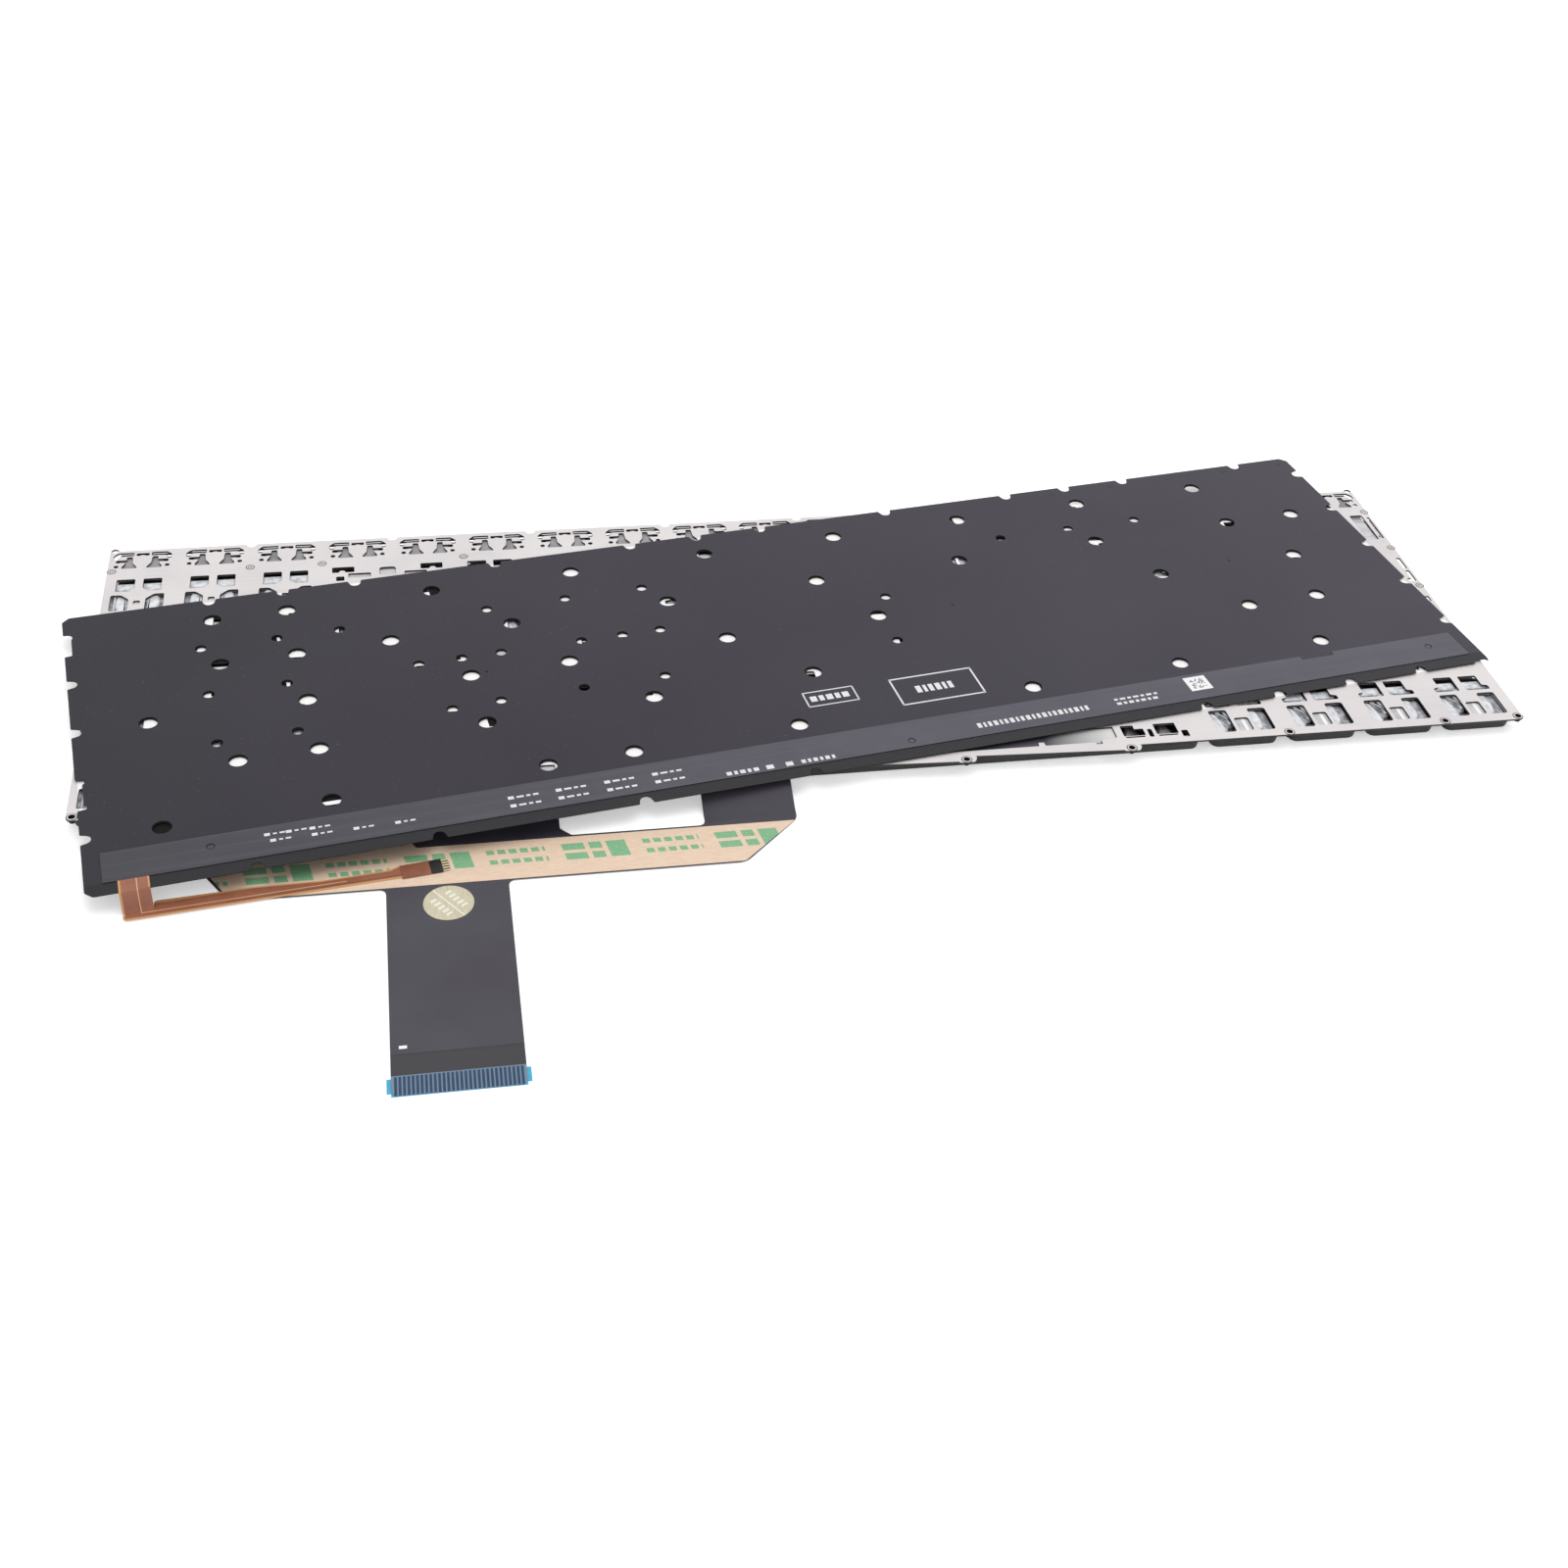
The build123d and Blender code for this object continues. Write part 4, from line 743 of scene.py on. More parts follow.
def key_cap(width, depth):
    """A hollow cap with its face down: rounded rectangles from the dished face out to its edge, up the
    drafted wall, over the rim and down to the roof inside."""
    width, depth = width + CAP_SPREAD, depth + CAP_SPREAD
    insets = [3.0, 1.7, 0.95, 0.55, 0.40, 0.33, 0.27, 0.02, 0.04, 0.14, 0.80, 0.90, 0.98, 1.15, 2.6]
    levels = [0.12, 0.07, 0.02, 0.0, 0.03, 0.12, 0.4, 1.95, 2.06, 2.1, 2.1, 2.04, 0.95, 0.80, 0.80]
    return ringed_shell(rounded_rectangle_rings(width, depth, insets, levels, CAP_CORNER))


def cushion(points, low, high, soft):
    """A block on the given outline with its upper edge rounded off: a quarter circle of the soft radius
    leads from the wall to the flat top."""
    points = run_left(np.asarray(points, float), True)
    angle = np.linspace(0, pi / 2, 5)
    outlines = [points] + [inset(points, soft * (1 - cos(a))) for a in angle]
    levels = np.concatenate([[low], high - soft * (1 - np.sin(angle))])
    rings = [np.column_stack([outline, np.full(len(outline), z)]) for outline, z in zip(outlines, levels)]
    return ringed_shell(np.stack(rings))


def scissor_arms(width, depth):
    """The milky arms of a scissor lift, as they lie under the plate's windows: a rounded arm on either
    side over a lower floor, which the finish's painted shade makes greyer and which leaves one dark corner,
    a thin arc, two cross bars under each hook, and two rails that tie them together lower down."""
    if depth < 12:
        return join([cushion(rounded(rectangle(side * 3.6 - 1.3, side * 3.6 + 1.3, -2.2, 0.4), 0.4), 2.3, 3.0, 0.4)
                     for side in (-1, 1)])
    broad = rounded(np.array([(1.9, -7.6), (3.4, -7.4), (4.9, -6.4), (5.5, -3.6), (5.2, 0.5), (1.9, 0.5)]), 1.2)
    left = rounded(np.array([(-7.2, -7.8), (-5.0, -8.2), (-4.0, -6.6), (-4.2, -3.0), (-5.0, 0.5), (-7.2, 0.5)]), 1.2)
    arc = rounded(np.array([(-5.0, 0.4), (-4.3, 0.4), (-3.0, -1.8), (-2.5, -4.2), (-2.9, -4.3), (-3.4, -2.2)]), 0.5)
    right_floor = rectangle(1.7, 7.2, -8.2, 0.5)
    left_floor = rounded(np.array([(-7.2, -8.2), (-4.4, -8.2), (-3.6, -5.2), (-1.9, -4.4), (-1.9, 0.5),
                                   (-7.2, 0.5)]), 0.4)
    narrow = width < 14.5
    slab = rounded(rectangle(0.7, 6.9, 2.7, 5.8) if narrow else rectangle(0.7, 6.9, 3.1, 5.9), 0.4)
    foot = rounded(rectangle(0.7, 7.2, 0.8, 2.3) if narrow else rectangle(0.7, 7.2, 1.1, 2.7), 0.3)
    rails = [rounded(rectangle(-6.5, 6.5, y, y + 1.2), 0.4) for y in (-5.8, 4.0)]
    arms = [cushion(broad, 2.3, 3.42, 1.0), cushion(mirrored(broad) if narrow else left, 2.3, 3.42, 1.0)]
    arms += [] if narrow else [cushion(arc, 2.4, 3.42, 0.15)]
    # The floors lie lower, so the finish paints them greyer as shade.
    floors = [cushion(shape, 1.9, 2.75, 0.2)
              for shape in (right_floor, mirrored(right_floor) if narrow else left_floor)]
    bars = [cushion(shape, 2.3, 3.3, 0.4) for shape in (slab, mirrored(slab), foot, mirrored(foot))]
    return join(arms + floors + bars + [cushion(rail, 1.5, 2.0, 0.2) for rail in rails])


def dome(foot, top):
    """A rubber dome from its ring on the membrane to its small pad on the cap's roof."""
    radii = [top * 0.7, top, top * 1.04, 0.45 * top + 0.55 * foot, 0.93 * foot, foot, foot, foot * 0.8]
    levels = [0.82, 0.88, 1.5, 2.1, 2.95, 3.2, 3.42, 3.44]
    return turned_profile(radii, levels)


def stacked(maker, keys):
    return join([moved(maker(w, d), x + PLATE_X, y + PLATE_Y) for x, y, w, d in keys])


for group, keys in fixed_rows.items():
    make_piece(group + "_caps", stacked(key_cap, keys), cap_plastic, stands_for=(group,))
fixed_keys = [key for keys in fixed_rows.values() for key in keys]
make_piece("fixed_row_scissors", stacked(scissor_arms, fixed_keys), scissor_plastic_and_shade)
make_piece("fixed_row_domes", stacked(lambda w, d: dome(min(3.2, d / 3), min(1.6, d / 6)), fixed_keys), dome_rubber)

for name in moving_names:
    low, high = np.array(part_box(name)) / MM
    middle, size = (low + high) / 2, high - low
    half = size[1] < ROW_PITCH / 2
    cap = moved(key_cap(size[0], size[1]), middle[0], middle[1])
    make_piece(name + "_cap", cap, cap_plastic, body=name, stands_for=(name,))
    lifts = [("_dome", dome(1.9, 1.2) if half else dome(3.2, 1.6), dome_rubber, "dome", "rubber_domes"),
             ("_scissor", scissor_arms(size[0], size[1]), scissor_plastic_and_shade, "scissor", "scissor_frames")]
    for ending, shape, finish, slot, node in lifts:
        lift = make_piece(name + ending, moved(shape, middle[0], middle[1]), finish, stands_for=(node,))
        name + "_press"
        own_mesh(lift)


hook_plan = rounded(np.array([(-2.1, -1.9), (2.1, -1.9), (1.5, 0.1), (0.7, 1.9), (-0.7, 1.9), (-1.3, 0.1)]), 0.4)
hook = cushion(hook_plan, CAP_ROOF, 2.15, 0.5)
space_x, space_y = bottom_keys[5][0] + PLATE_X, bottom_keys[5][1] + PLATE_Y - 2.85
hooks = join([moved(hook, space_x + x, space_y) for x in (-41.4, -33.5, 34.4, 42.3)])
make_piece("space_bar_hooks", hooks, hook_plastic, body="space_bar")


# ---------------------------------------------------------------- stamped plate

def both_sides(points, radius):
    return [(np.asarray(points, float), radius), (mirrored(points), radius)]


# Openings around a key's middle, with the corner radius of each. The first list of a pair goes through
# the plate, the second through the membrane below it, where the photo shows the dark inside. The slits at
# the right edge are counted from the plate's near left corner.
hook_openings = (both_sides([(0.9, 1.5), (6.9, 1.5), (6.9, 2.9), (5.5, 3.2), (5.5, 6.9), (0.9, 6.9)], 0.4)
                 + both_sides(rectangle(2.6, 6.9, -8.0, 0.1), 0.7) + [(rectangle(-1.7, 1.7, -7.8, -3.1), 0.6)])
hook_gaps = both_sides(rectangle(0.7, 7.1, 1.3, 7.1), 0.3) + both_sides(rectangle(2.4, 7.1, -7.8, 0.3), 0.7)
pad_openings = (both_sides([(2.2, 1.2), (5.3, 1.2), (5.3, 6.4), (1.0, 6.4), (1.0, 2.4)], 0.4)
                + both_sides([(2.0, -7.0), (6.2, -7.0), (6.2, -0.4), (3.9, -0.4), (2.0, -2.3)], 0.5)
                + [(rectangle(-0.75, 0.75, -4.5, -3.1), 0.3)])
pad_gaps = both_sides(rectangle(0.8, 5.5, 1.0, 6.6), 0.3) + both_sides(rectangle(1.8, 6.4, -7.2, -0.2), 0.5)
dots = [(circle(6.05, -1.9, 0.55, 12), 0.0), (circle(-6.05, -1.9, 0.55, 12), 0.0)]
function_openings = (both_sides([(2.1, 2.75), (5.3, 2.75), (5.9, 2.3), (5.9, 1.3), (6.9, 1.3), (6.9, 3.0), (5.8, 4.2),
                                 (2.1, 4.2)], 0.3)
                     + both_sides([(2.4, 2.2), (3.7, 2.2), (3.7, 0.9), (6.2, 0.9), (6.2, -0.2), (3.9, -0.2),
                                   (4.2, -1.2), (4.7, -1.9), (4.7, -2.8), (1.2, -2.8), (1.2, -2.3), (2.2, -0.6)], 0.3)
                     + [(np.array([(-1.5, 2.8), (-0.7, 2.8), (-0.4, 3.1), (0.4, 3.1), (0.7, 2.8), (1.5, 2.8),
                                   (1.5, 3.8), (-1.5, 3.8)]), 0.25)] + dots)
function_gaps = (both_sides(rectangle(5.0, 6.9, -0.4, 2.2), 0.2) + both_sides(rectangle(2.0, 7.0, 2.6, 3.45), 0.2)
                 + dots)
wide_openings = ([(rectangle(-1.95, 1.95, 2.7, 6.2), 0.9)] + both_sides(rectangle(4.1, 9.5, 2.2, 4.0), 0.3)
                 + both_sides([(8.1, 4.7), (10.2, 4.7), (10.4, 5.5), (11.6, 5.5), (11.8, 4.7), (13.4, 4.7), (13.4, 7.0),
                               (8.1, 7.0)], 0.3) + both_sides(rectangle(10.5, 12.4, 1.0, 2.8), 0.3))
wide_gaps = both_sides(rectangle(7.9, 13.6, 4.5, 7.2), 0.3) + both_sides(rectangle(10.3, 12.6, 0.8, 3.0), 0.3)
edge_openings = [(rectangle(1.2, 4.6, -5.0, 7.0), 0.5)]
edge_slits = [(np.array([(325.9, 80.6), (326.6, 79.8), (327.2, 79.8), (327.2, 90.2), (326.6, 90.2),
                         (326.6, 81.4)]), 0.2),
              (rectangle(326.2, 327.2, 65.0, 70.0), 0.3),
              (np.array([(325.2, 59.2), (327.2, 59.2), (327.2, 64.0), (326.3, 64.0), (326.3, 60.4),
                         (325.2, 60.4)]), 0.25),
              (rectangle(326.1, 327.1, 49.8, 52.0), 0.2)]
space_openings = (both_sides(rectangle(31.7, 36.2, -7.7, -7.35), 0.1)
                  + both_sides(rectangle(39.6, 44.1, -7.7, -7.35), 0.1)
                  + both_sides([(31.4, -7.05), (36.5, -7.05), (36.5, -4.7), (34.4, -4.7), (34.4, -3.3),
                                (31.4, -3.3)], 0.25)
                  + both_sides(rectangle(37.4, 38.4, -7.8, -5.0), 0.35)
                  + both_sides(rectangle(39.3, 44.4, -7.05, -3.3), 0.25)
                  + both_sides(rectangle(45.2, 46.7, -8.6, -6.2), 0.4)
                  + [(rectangle(-5.5, 5.5, 1.8, 6.6), 0.6),
                     (np.array([(-29.6, -8.4), (10.8, -8.4), (10.9, -7.2), (12.3, -7.2), (12.4, -8.4), (24.1, -8.4),
                                (24.2, -9.1), (25.6, -9.1), (25.7, -7.7), (28.9, -7.7), (29.6, -7.0), (29.6, -3.3),
                                (-29.6, -3.3)]), 0.2)])
space_gaps = (both_sides(rectangle(31.2, 36.7, -7.8, -3.1), 0.3) + both_sides(rectangle(39.1, 44.6, -7.8, -3.1), 0.3)
              + both_sides(rectangle(37.2, 38.6, -7.8, -4.8), 0.3) + both_sides(rectangle(45.0, 46.9, -7.8, -5.4), 0.3))


def opened(template, keys):
    made = []
    for x, y, width, depth in keys:
        made += [(rounded(points, radius) if radius else points) + (x, y) for points, radius in template]
    return made


standard_keys = number_keys[1:-1] + letter_keys[:-1] + home_keys[:-1] + shift_keys + bottom_keys[:5] + bottom_keys[6:]
edge_keys = [number_keys[-1], letter_keys[-1], home_keys[-1]]
key_openings = (opened(function_openings, function_keys) + opened(pad_openings, pad_keys)
                + opened(wide_openings, number_keys[:1]) + opened(hook_openings, standard_keys)
                + opened(edge_openings, edge_keys) + opened(space_openings, bottom_keys[5:6])
                + opened(edge_slits, [(0, 0, 0, 0)]))
membrane_gaps = (opened(function_gaps, function_keys) + opened(pad_gaps, pad_keys) + opened(wide_gaps, number_keys[:1])
                 + opened(hook_gaps, standard_keys) + opened(space_gaps, bottom_keys[5:6]))


screws = [(x, y) for y in (SCREW_INSET, PLATE_DEPTH - SCREW_FAR) for x in (SCREW_INSET, PLATE_LENGTH - SCREW_INSET)]
EAR = np.array([(-2.6, 0.0), (-1.8, -1.6), (1.8, -1.6), (2.6, 0.0), (0.0, 4.0)])
FAR_NOTCH = np.array([(1.5, 0.0), (1.2, -0.15), (0.9, -0.9), (0.5, -1.25), (-0.5, -1.25), (-0.9, -0.9), (-1.2, -0.15),
                      (-1.5, 0.0)])


def eyelet_x(index):
    return MAIN_RIGHT - (1 + 2 * index) * KEY_PITCH


def plate_outline():
    """The plate's edge, walked anticlockwise from its near left corner: ears on the near edge, round
    lugs on the far corners and half-round notches in the far edge."""
    points = [circle(*screws[0], SCREW_INSET, 24)[12:19]]
    points += [np.array([(x, 0)]) + rounded(EAR, 0.5, 3)[4:-4] for x in sorted(map(eyelet_x, range(2, 7)))]
    points.append(np.roll(circle(*screws[1], SCREW_INSET, 24), 6, axis=0)[:7])
    points.append(circle(*screws[3], LUG_RADIUS, 24)[0:13])
    points += [FAR_NOTCH + (function_x(index) - FUNCTION_PITCH / 2, PLATE_DEPTH)
               for index in range(FUNCTION_COUNT - 1, 1, -2)]
    points.append(circle(*screws[2], LUG_RADIUS, 24)[0:13])
    return np.concatenate(points)


eyelets = [(eyelet_x(i), 1.3 if i < 2 else -0.5) for i in range(7)]
plate_holes = key_openings + [circle(x, y, EYELET_HOLE, 16) for x, y in screws + eyelets]
plate = laid_sheet(on_plate, plate_outline(), plate_holes, PLATE_LOW, PLATE_HIGH, STAMPED_EDGE)
# The plate's walls are painted dark as shade.
make_piece("stamped_support_plate", plate, plate_metal, stands_for=("support_plate",), walls=window_wall_shade)

membrane_edge = rounded(rectangle(2.6, PLATE_LENGTH - 2.6, 2.6, PLATE_DEPTH - 1.5), 0.3)
membrane_holes = []
for gap in membrane_gaps:
    low = np.maximum(gap.min(axis=0), (3.0, 2.9))
    high = np.minimum(gap.max(axis=0), (PLATE_LENGTH - 3.0, PLATE_DEPTH - 1.9))
    trimmed = np.any(low > gap.min(axis=0)) or np.any(high < gap.max(axis=0))
    if np.all(high - low > 0.4):
        membrane_holes.append(rounded(rectangle(low[0], high[0], low[1], high[1]), 0.15) if trimmed else gap)
membrane = laid_sheet(on_plate, membrane_edge, membrane_holes, MEMBRANE_LOW, PLATE_LOW)
make_piece("cut_switch_membrane", membrane, membrane_film, stands_for=("switch_membrane",))


def ring_levels(*levels):
    return np.array(levels) + PLATE_HIGH


# Raised rims of the eyelets and screw holes, with a dark groove round each rim and a black lining down each bore, both
# painted shade, and rivets with a dimpled head.
rim_places = eyelets + screws[:2]
rivet_places = [(function_x(i) + FUNCTION_PITCH / 2, KEYS_FAR) for i in (1, 2, 4)] + [(1.1, PLATE_DEPTH - 9.6)]
rivet_places += [(PLATE_LENGTH - 0.9, y) for y in (93.0, 75.0, 57.0)]
rim = turned_ring([0.74, 0.79, 0.90, 1.04, 1.04, 0.74], ring_levels(0.03, 0.11, 0.13, 0.08, -0.03, -0.03))
rim_groove = turned_ring([1.0, 1.03, 1.26, 1.28], ring_levels(-0.02, 0.02, 0.02, -0.02))
bore = turned_ring([0.64, 0.64, 0.75, 0.75], ring_levels(-1.2, 0.05, 0.05, -1.2))
rivet = turned_profile([0.86, 0.84, 0.70, 0.55, 0.50], ring_levels(-0.02, 0.04, 0.09, 0.09, 0.02))
rivet_groove = turned_ring([0.84, 0.86, 1.08, 1.1], ring_levels(-0.02, 0.025, 0.025, -0.02))
rivet_dimple = turned_ring([0.28, 0.30, 0.52, 0.54], ring_levels(-0.02, 0.03, 0.03, -0.02))
fittings = [("eyelet_rims", rim, plate_metal, rim_places), ("eyelet_grooves", rim_groove, eyelet_shade, rim_places),
            ("eyelet_bores", bore, black_edge_and_shade, rim_places), ("rivet_heads", rivet, plate_metal, rivet_places),
            ("rivet_grooves", rivet_groove, rivet_rim, rivet_places),
            ("rivet_dimples", rivet_dimple, rivet_rim, rivet_places)]
for name, shape, finish, places in fittings:
    make_piece(name, join([moved(shape, x + PLATE_X, y + PLATE_Y) for x, y in places]), finish)


# ---------------------------------------------------------------- backlight panel

seat = np.array([PLATE_LENGTH / 2, PLATE_DEPTH / 2])
pad_edges = [column_x(i) + PAD_PITCH / 2 for i in range(3)]
posts = [(function_x(i) + FUNCTION_PITCH / 2, KEYS_FAR) for i in (1, 2, 4, 6, 8, 10, 12, 14, 16)]
for row, level, places in ((NUMBER_ROW, 4, (2, 4, 6, 8, 10, 12, 13)), (LETTER_ROW, 3, (3, 5, 7, 11, 13)),
                           (HOME_ROW, 2, (1, 3, 5, 11, 12)), (SHIFT_ROW, 1, (1, 2, 4, 7, 9, 11)),
                           (LETTER_ROW, 4, (1,)), (HOME_ROW, 3, (1,))):
    posts += [(boundary(row, place), NEAR_MARGIN + level * ROW_PITCH) for place in places]
posts += [(pad_edges[column], NEAR_MARGIN + row * ROW_PITCH)
          for row, column in ((4, 1), (4, 2), (3, 0), (3, 2), (2, 1), (2, 2), (1, 0), (1, 2))]
vents = []
for keys, level, places in ((number_keys, 4, ((0, -1), (1, 1), (2, 1), (3, 1), (8, 1), (9, 1), (10, 1))),
                            (letter_keys, 3, ((1, -1), (1, 1), (2, -1), (3, -1), (3, 1), (4, -1), (7, -1))),
                            (home_keys, 2, ((1, -1), (2, -1), (3, -1), (6, -1)))):
    vents += [(keys[i][0] + side * 5.0, row_y(level) - 1.9) for i, side in places]
vents += [(column_x(column) + 5.0, row_y(row) - 1.9) for row in (2, 3, 4) for column in (1, 2)]

NOTCH = np.array([(-1.6, 0.0), (-1.4, 0.9), (-1.1, 1.7), (-0.5, 2.2), (0.5, 2.2), (1.1, 1.7), (1.4, 0.9), (1.6, 0.0)])
SIDE_CUT = np.array([(-5.3, 0.0), (-5.2, 1.7), (-4.6, 2.2), (-3.9, 2.0), (-3.6, 1.4), (3.7, 1.4), (3.9, 2.0),
                     (4.9, 2.0), (5.2, 0.0)])
FAR_CUT = np.array([(-1.7, 0.0), (-1.6, 1.3), (-1.0, 2.0), (0.0, 2.0), (0.5, 1.75), (6.9, 1.7), (7.1, 0.0)])


def panel_side(start, end, cuts):
    """One straight edge of the panel, walked from start to end, with cuts to its left: each cut is its
    middle's distance from the edge's own middle and its points along and into the panel."""
    start, end = np.array(start, float), np.array(end, float)
    along = (end - start) / np.linalg.norm(end - start)
    inward = np.array([-along[1], along[0]])
    middle = (start + end) / 2
    points = [start[None]]
    for place, shape in sorted(cuts, key=lambda cut: cut[0]):
        points.append(middle + (place + shape[:, :1]) * along + shape[:, 1:] * inward)
    return np.concatenate(points + [end[None]])


def panel_outline():
    """The panel's edge from its near left corner: notches on all sides, two long shallow cuts on the
    left, three cut corners, and a sharp near right corner with a small step before it."""
    cut = 1.6
    x, y = HALF_LENGTH, HALF_DEPTH
    near = [pad_edges[1]] + [boundary(BOTTOM_ROW, i) for i in (1, 6, 7, 8, 9)]
    near += [MAIN_RIGHT - units * KEY_PITCH for units in (9, 11)]
    rows = [NEAR_MARGIN + i * ROW_PITCH - seat[1] for i in range(1, 6)]
    far = [function_x(i + 1) + FUNCTION_PITCH / 2 - seat[0] for i in (2, 4, 6, 8, 10, 12, 14, 16)]
    far += [function_x(i) + FUNCTION_PITCH * 1.5 - seat[0] for i in (0, 1, 7, 13)]
    left = [(-level, NOTCH) for level in (rows[0], rows[2], rows[3])] + [(3.6 - rows[1], SIDE_CUT), (-rows[4], FAR_CUT)]
    sides = [panel_side((cut - x, -y), (x - 4.0, -y), [(place - seat[0] + (4.0 - cut) / 2, NOTCH) for place in near]),
             np.array([(x - 3.9, 0.7 - y), (x - 0.9, 0.7 - y), (x - 0.8, 0.1 - y), (x - 0.3, 0.1 - y)]),
             panel_side((x, cut - y), (x, y - cut), [(level, NOTCH) for level in rows]),
             panel_side((x - cut, y), (cut - x, y), [(-place, NOTCH) for place in sorted(set(np.round(far, 4)))]),
             panel_side((-x, y - cut), (-x, cut - y), left)]
    return np.concatenate(sides)


seated_holes = [(x - seat[0], y - seat[1], radius) for places, radius in ((posts, POST_HOLE), (vents, VENT_HOLE))
                for x, y in places]
seated_holes.append((-82.1, -6.9, VENT_HOLE))
film_holes = [circle(x, y, radius, 24) for x, y, radius in seated_holes]
film_holes += [circle(x, y, 0.25, 10) for x, y in ((-71.9, 5.1), (44.3, 4.5), (122.3, 6.0))]
film = laid_sheet(on_panel, rounded(panel_outline(), 0.3, 2), film_holes, FILM_LOW, FILM_HIGH)
make_piece("perforated_rear_film", film, backlight_film, stands_for=("backlight_rear_film",),
           walls=black_edge_and_shade)
guide_x, guide_far = HALF_LENGTH - 2.5, HALF_DEPTH - 2.5
guide_edge = rounded(rectangle(-guide_x, guide_x, 5.75 - HALF_DEPTH, guide_far), 0.8)
# The guide's holes sit a little nearer the viewer and are a little smaller, which leaves a crescent of the dark guide,
# painted shade, at the far side of each film hole.
guide_holes = [circle(x, y - GUIDE_HOLE_SHIFT, radius - GUIDE_HOLE_LESS, 24) for x, y, radius in seated_holes]
guide = laid_sheet(on_panel, guide_edge, guide_holes, PLATE_HIGH, FILM_LOW)
make_piece("perforated_light_guide", guide, guide_painted_shade, stands_for=("light_guide",), walls=black_edge_and_shade)


def hole_near(x, y):
    """The hole whose middle is nearest to a point of the panel: its middle and radius."""
    holes = np.array(seated_holes)
    return holes[np.argmin(np.hypot(holes[:, 0] - x, holes[:, 1] - y))]


strip_far, strip_near, strip_x = 13.0 - HALF_DEPTH, 3.6 - HALF_DEPTH, HALF_LENGTH - 3.6
notch_middle, notch_half = 122.4, 4.3
notch_left, notch_right = notch_middle - notch_half, notch_middle + notch_half
strip_edge = rounded(np.array([(-strip_x, strip_near), (strip_x, strip_near), (strip_x, strip_far),
                               (notch_right, strip_far), (notch_right, strip_far - 1.4), (notch_left, strip_far - 1.4),
                               (notch_left, strip_far), (-strip_x, strip_far)]), 0.25, 2)
dimples = np.array([(-138.4, -40.9), (14.5, -44.4), (151.7, -41.4)])
strip = laid_sheet(on_panel, strip_edge, [circle(x, y, 0.9, 20) for x, y in dimples], FILM_HIGH, STRIP_HIGH)
make_piece("led_strip_film", strip, strip_film, stands_for=("led_strip",), walls=black_edge_and_shade)
dimple = turned_profile([0.66, 0.66, 0.5], [FILM_HIGH, FILM_HIGH + 0.04, FILM_HIGH + 0.06])
make_piece("strip_dimples", join([moved(dimple, x, y) for x, y in on_panel(dimples)]), strip_film)


def print_bars(boxes, level):
    """Thin printed bars on the panel: x, y, width and height of each, as low blocks with drawn-in tops."""
    boxes = np.asarray(boxes, float)
    signs = np.array([(-0.5, -0.5), (0.5, -0.5), (0.5, 0.5), (-0.5, 0.5)])
    low = boxes[:, None, :2] + signs * boxes[:, None, 2:]
    high = boxes[:, None, :2] + signs * (boxes[:, None, 2:] - 0.02)
    rings = np.stack([on_panel(low), on_panel(high)], axis=1)
    z = np.broadcast_to(np.array([level - 0.01, level + 0.01])[None, :, None, None], rings.shape[:3] + (1,))
    shapes = [ringed_shell(block) for block in np.concatenate([rings, z], axis=-1)]
    return join(shapes)


def frame_bars(x0, x1, y0, y1, line):
    """The four sides of an outlined box."""
    x, y = (x0 + x1) / 2, (y0 + y1) / 2
    return [(x, y0, x1 - x0 + line, line), (x, y1, x1 - x0 + line, line), (x0, y, line, y1 - y0),
            (x1, y, line, y1 - y0)]


def word_bars(x0, x1, y, height, lengths):
    """A row of plain bars in place of words, in a steady rhythm of lengths with equal gaps."""
    made, x, index = [], x0, 0
    while x + lengths[index % len(lengths)] <= x1:
        length = lengths[index % len(lengths)]
        made.append((x + length / 2, y, length, height))
        x += length + 0.55
        index += 1
    return made


bars = []
for x, y in ((-127, -40.1), (-122.6, -40.2), (-117.8, -40.4), (-126, -42.2), (-117.6, -42.5), (-109.1, -42.8),
             (-100.5, -43.1)):
    bars += [(x, y, 1.2, 0.9)] + word_bars(x + 1.2, x + 4.2, y, 0.5, (0.8, 1.1))
for x in (-76.2, -65.8, -55.1, -44.4):
    for y in (-41.3, -44.0):
        bars += [(x, y, 1.3, 1.0)] + word_bars(x + 1.2, x + 7.4, y, 0.6, (1.6, 0.9, 1.2))
bars += word_bars(-29.3, -20.6, -45.3, 1.2, (1.2, 0.8)) + [(-19.3, -45.3, 1.7, 1.4), (-14.8, -45.3, 1.7, 1.4)]
bars += word_bars(-12.0, -3.7, -45.3, 1.2, (1.0, 0.7))
bars += word_bars(31.1, 60.3, -43.1, 1.7, (1.0, 0.6, 0.8))
bars += word_bars(66.1, 77.8, -42.0, 0.7, (0.9, 1.4)) + word_bars(66.1, 77.8, -43.6, 0.9, (1.2, 0.8))
make_piece("strip_print_marks", print_bars(bars, STRIP_HIGH), print_ink)
box_bars = frame_bars(17.7, 38.0, -31.3, -21.4, 0.45) + frame_bars(-3.7, 8.4, -26.6, -21.3, 0.35)
box_bars += word_bars(22.6, 33.4, -26.4, 2.6, (1.3, 0.8, 1.1))
box_bars += word_bars(-2.6, 7.6, -23.9, 2.0, (1.6, 1.2))
make_piece("film_print_marks", print_bars(box_bars, FILM_HIGH), print_ink)
spots = [(x, 47.4, 1.5, 0.8) for x in (3.9, 21.3, 38.7, 56.1, 73.4, 90.9, 108.4, 125.6, 142.9, 160.1)]
make_piece("film_far_spots", print_bars(spots, FILM_HIGH), black_ink)

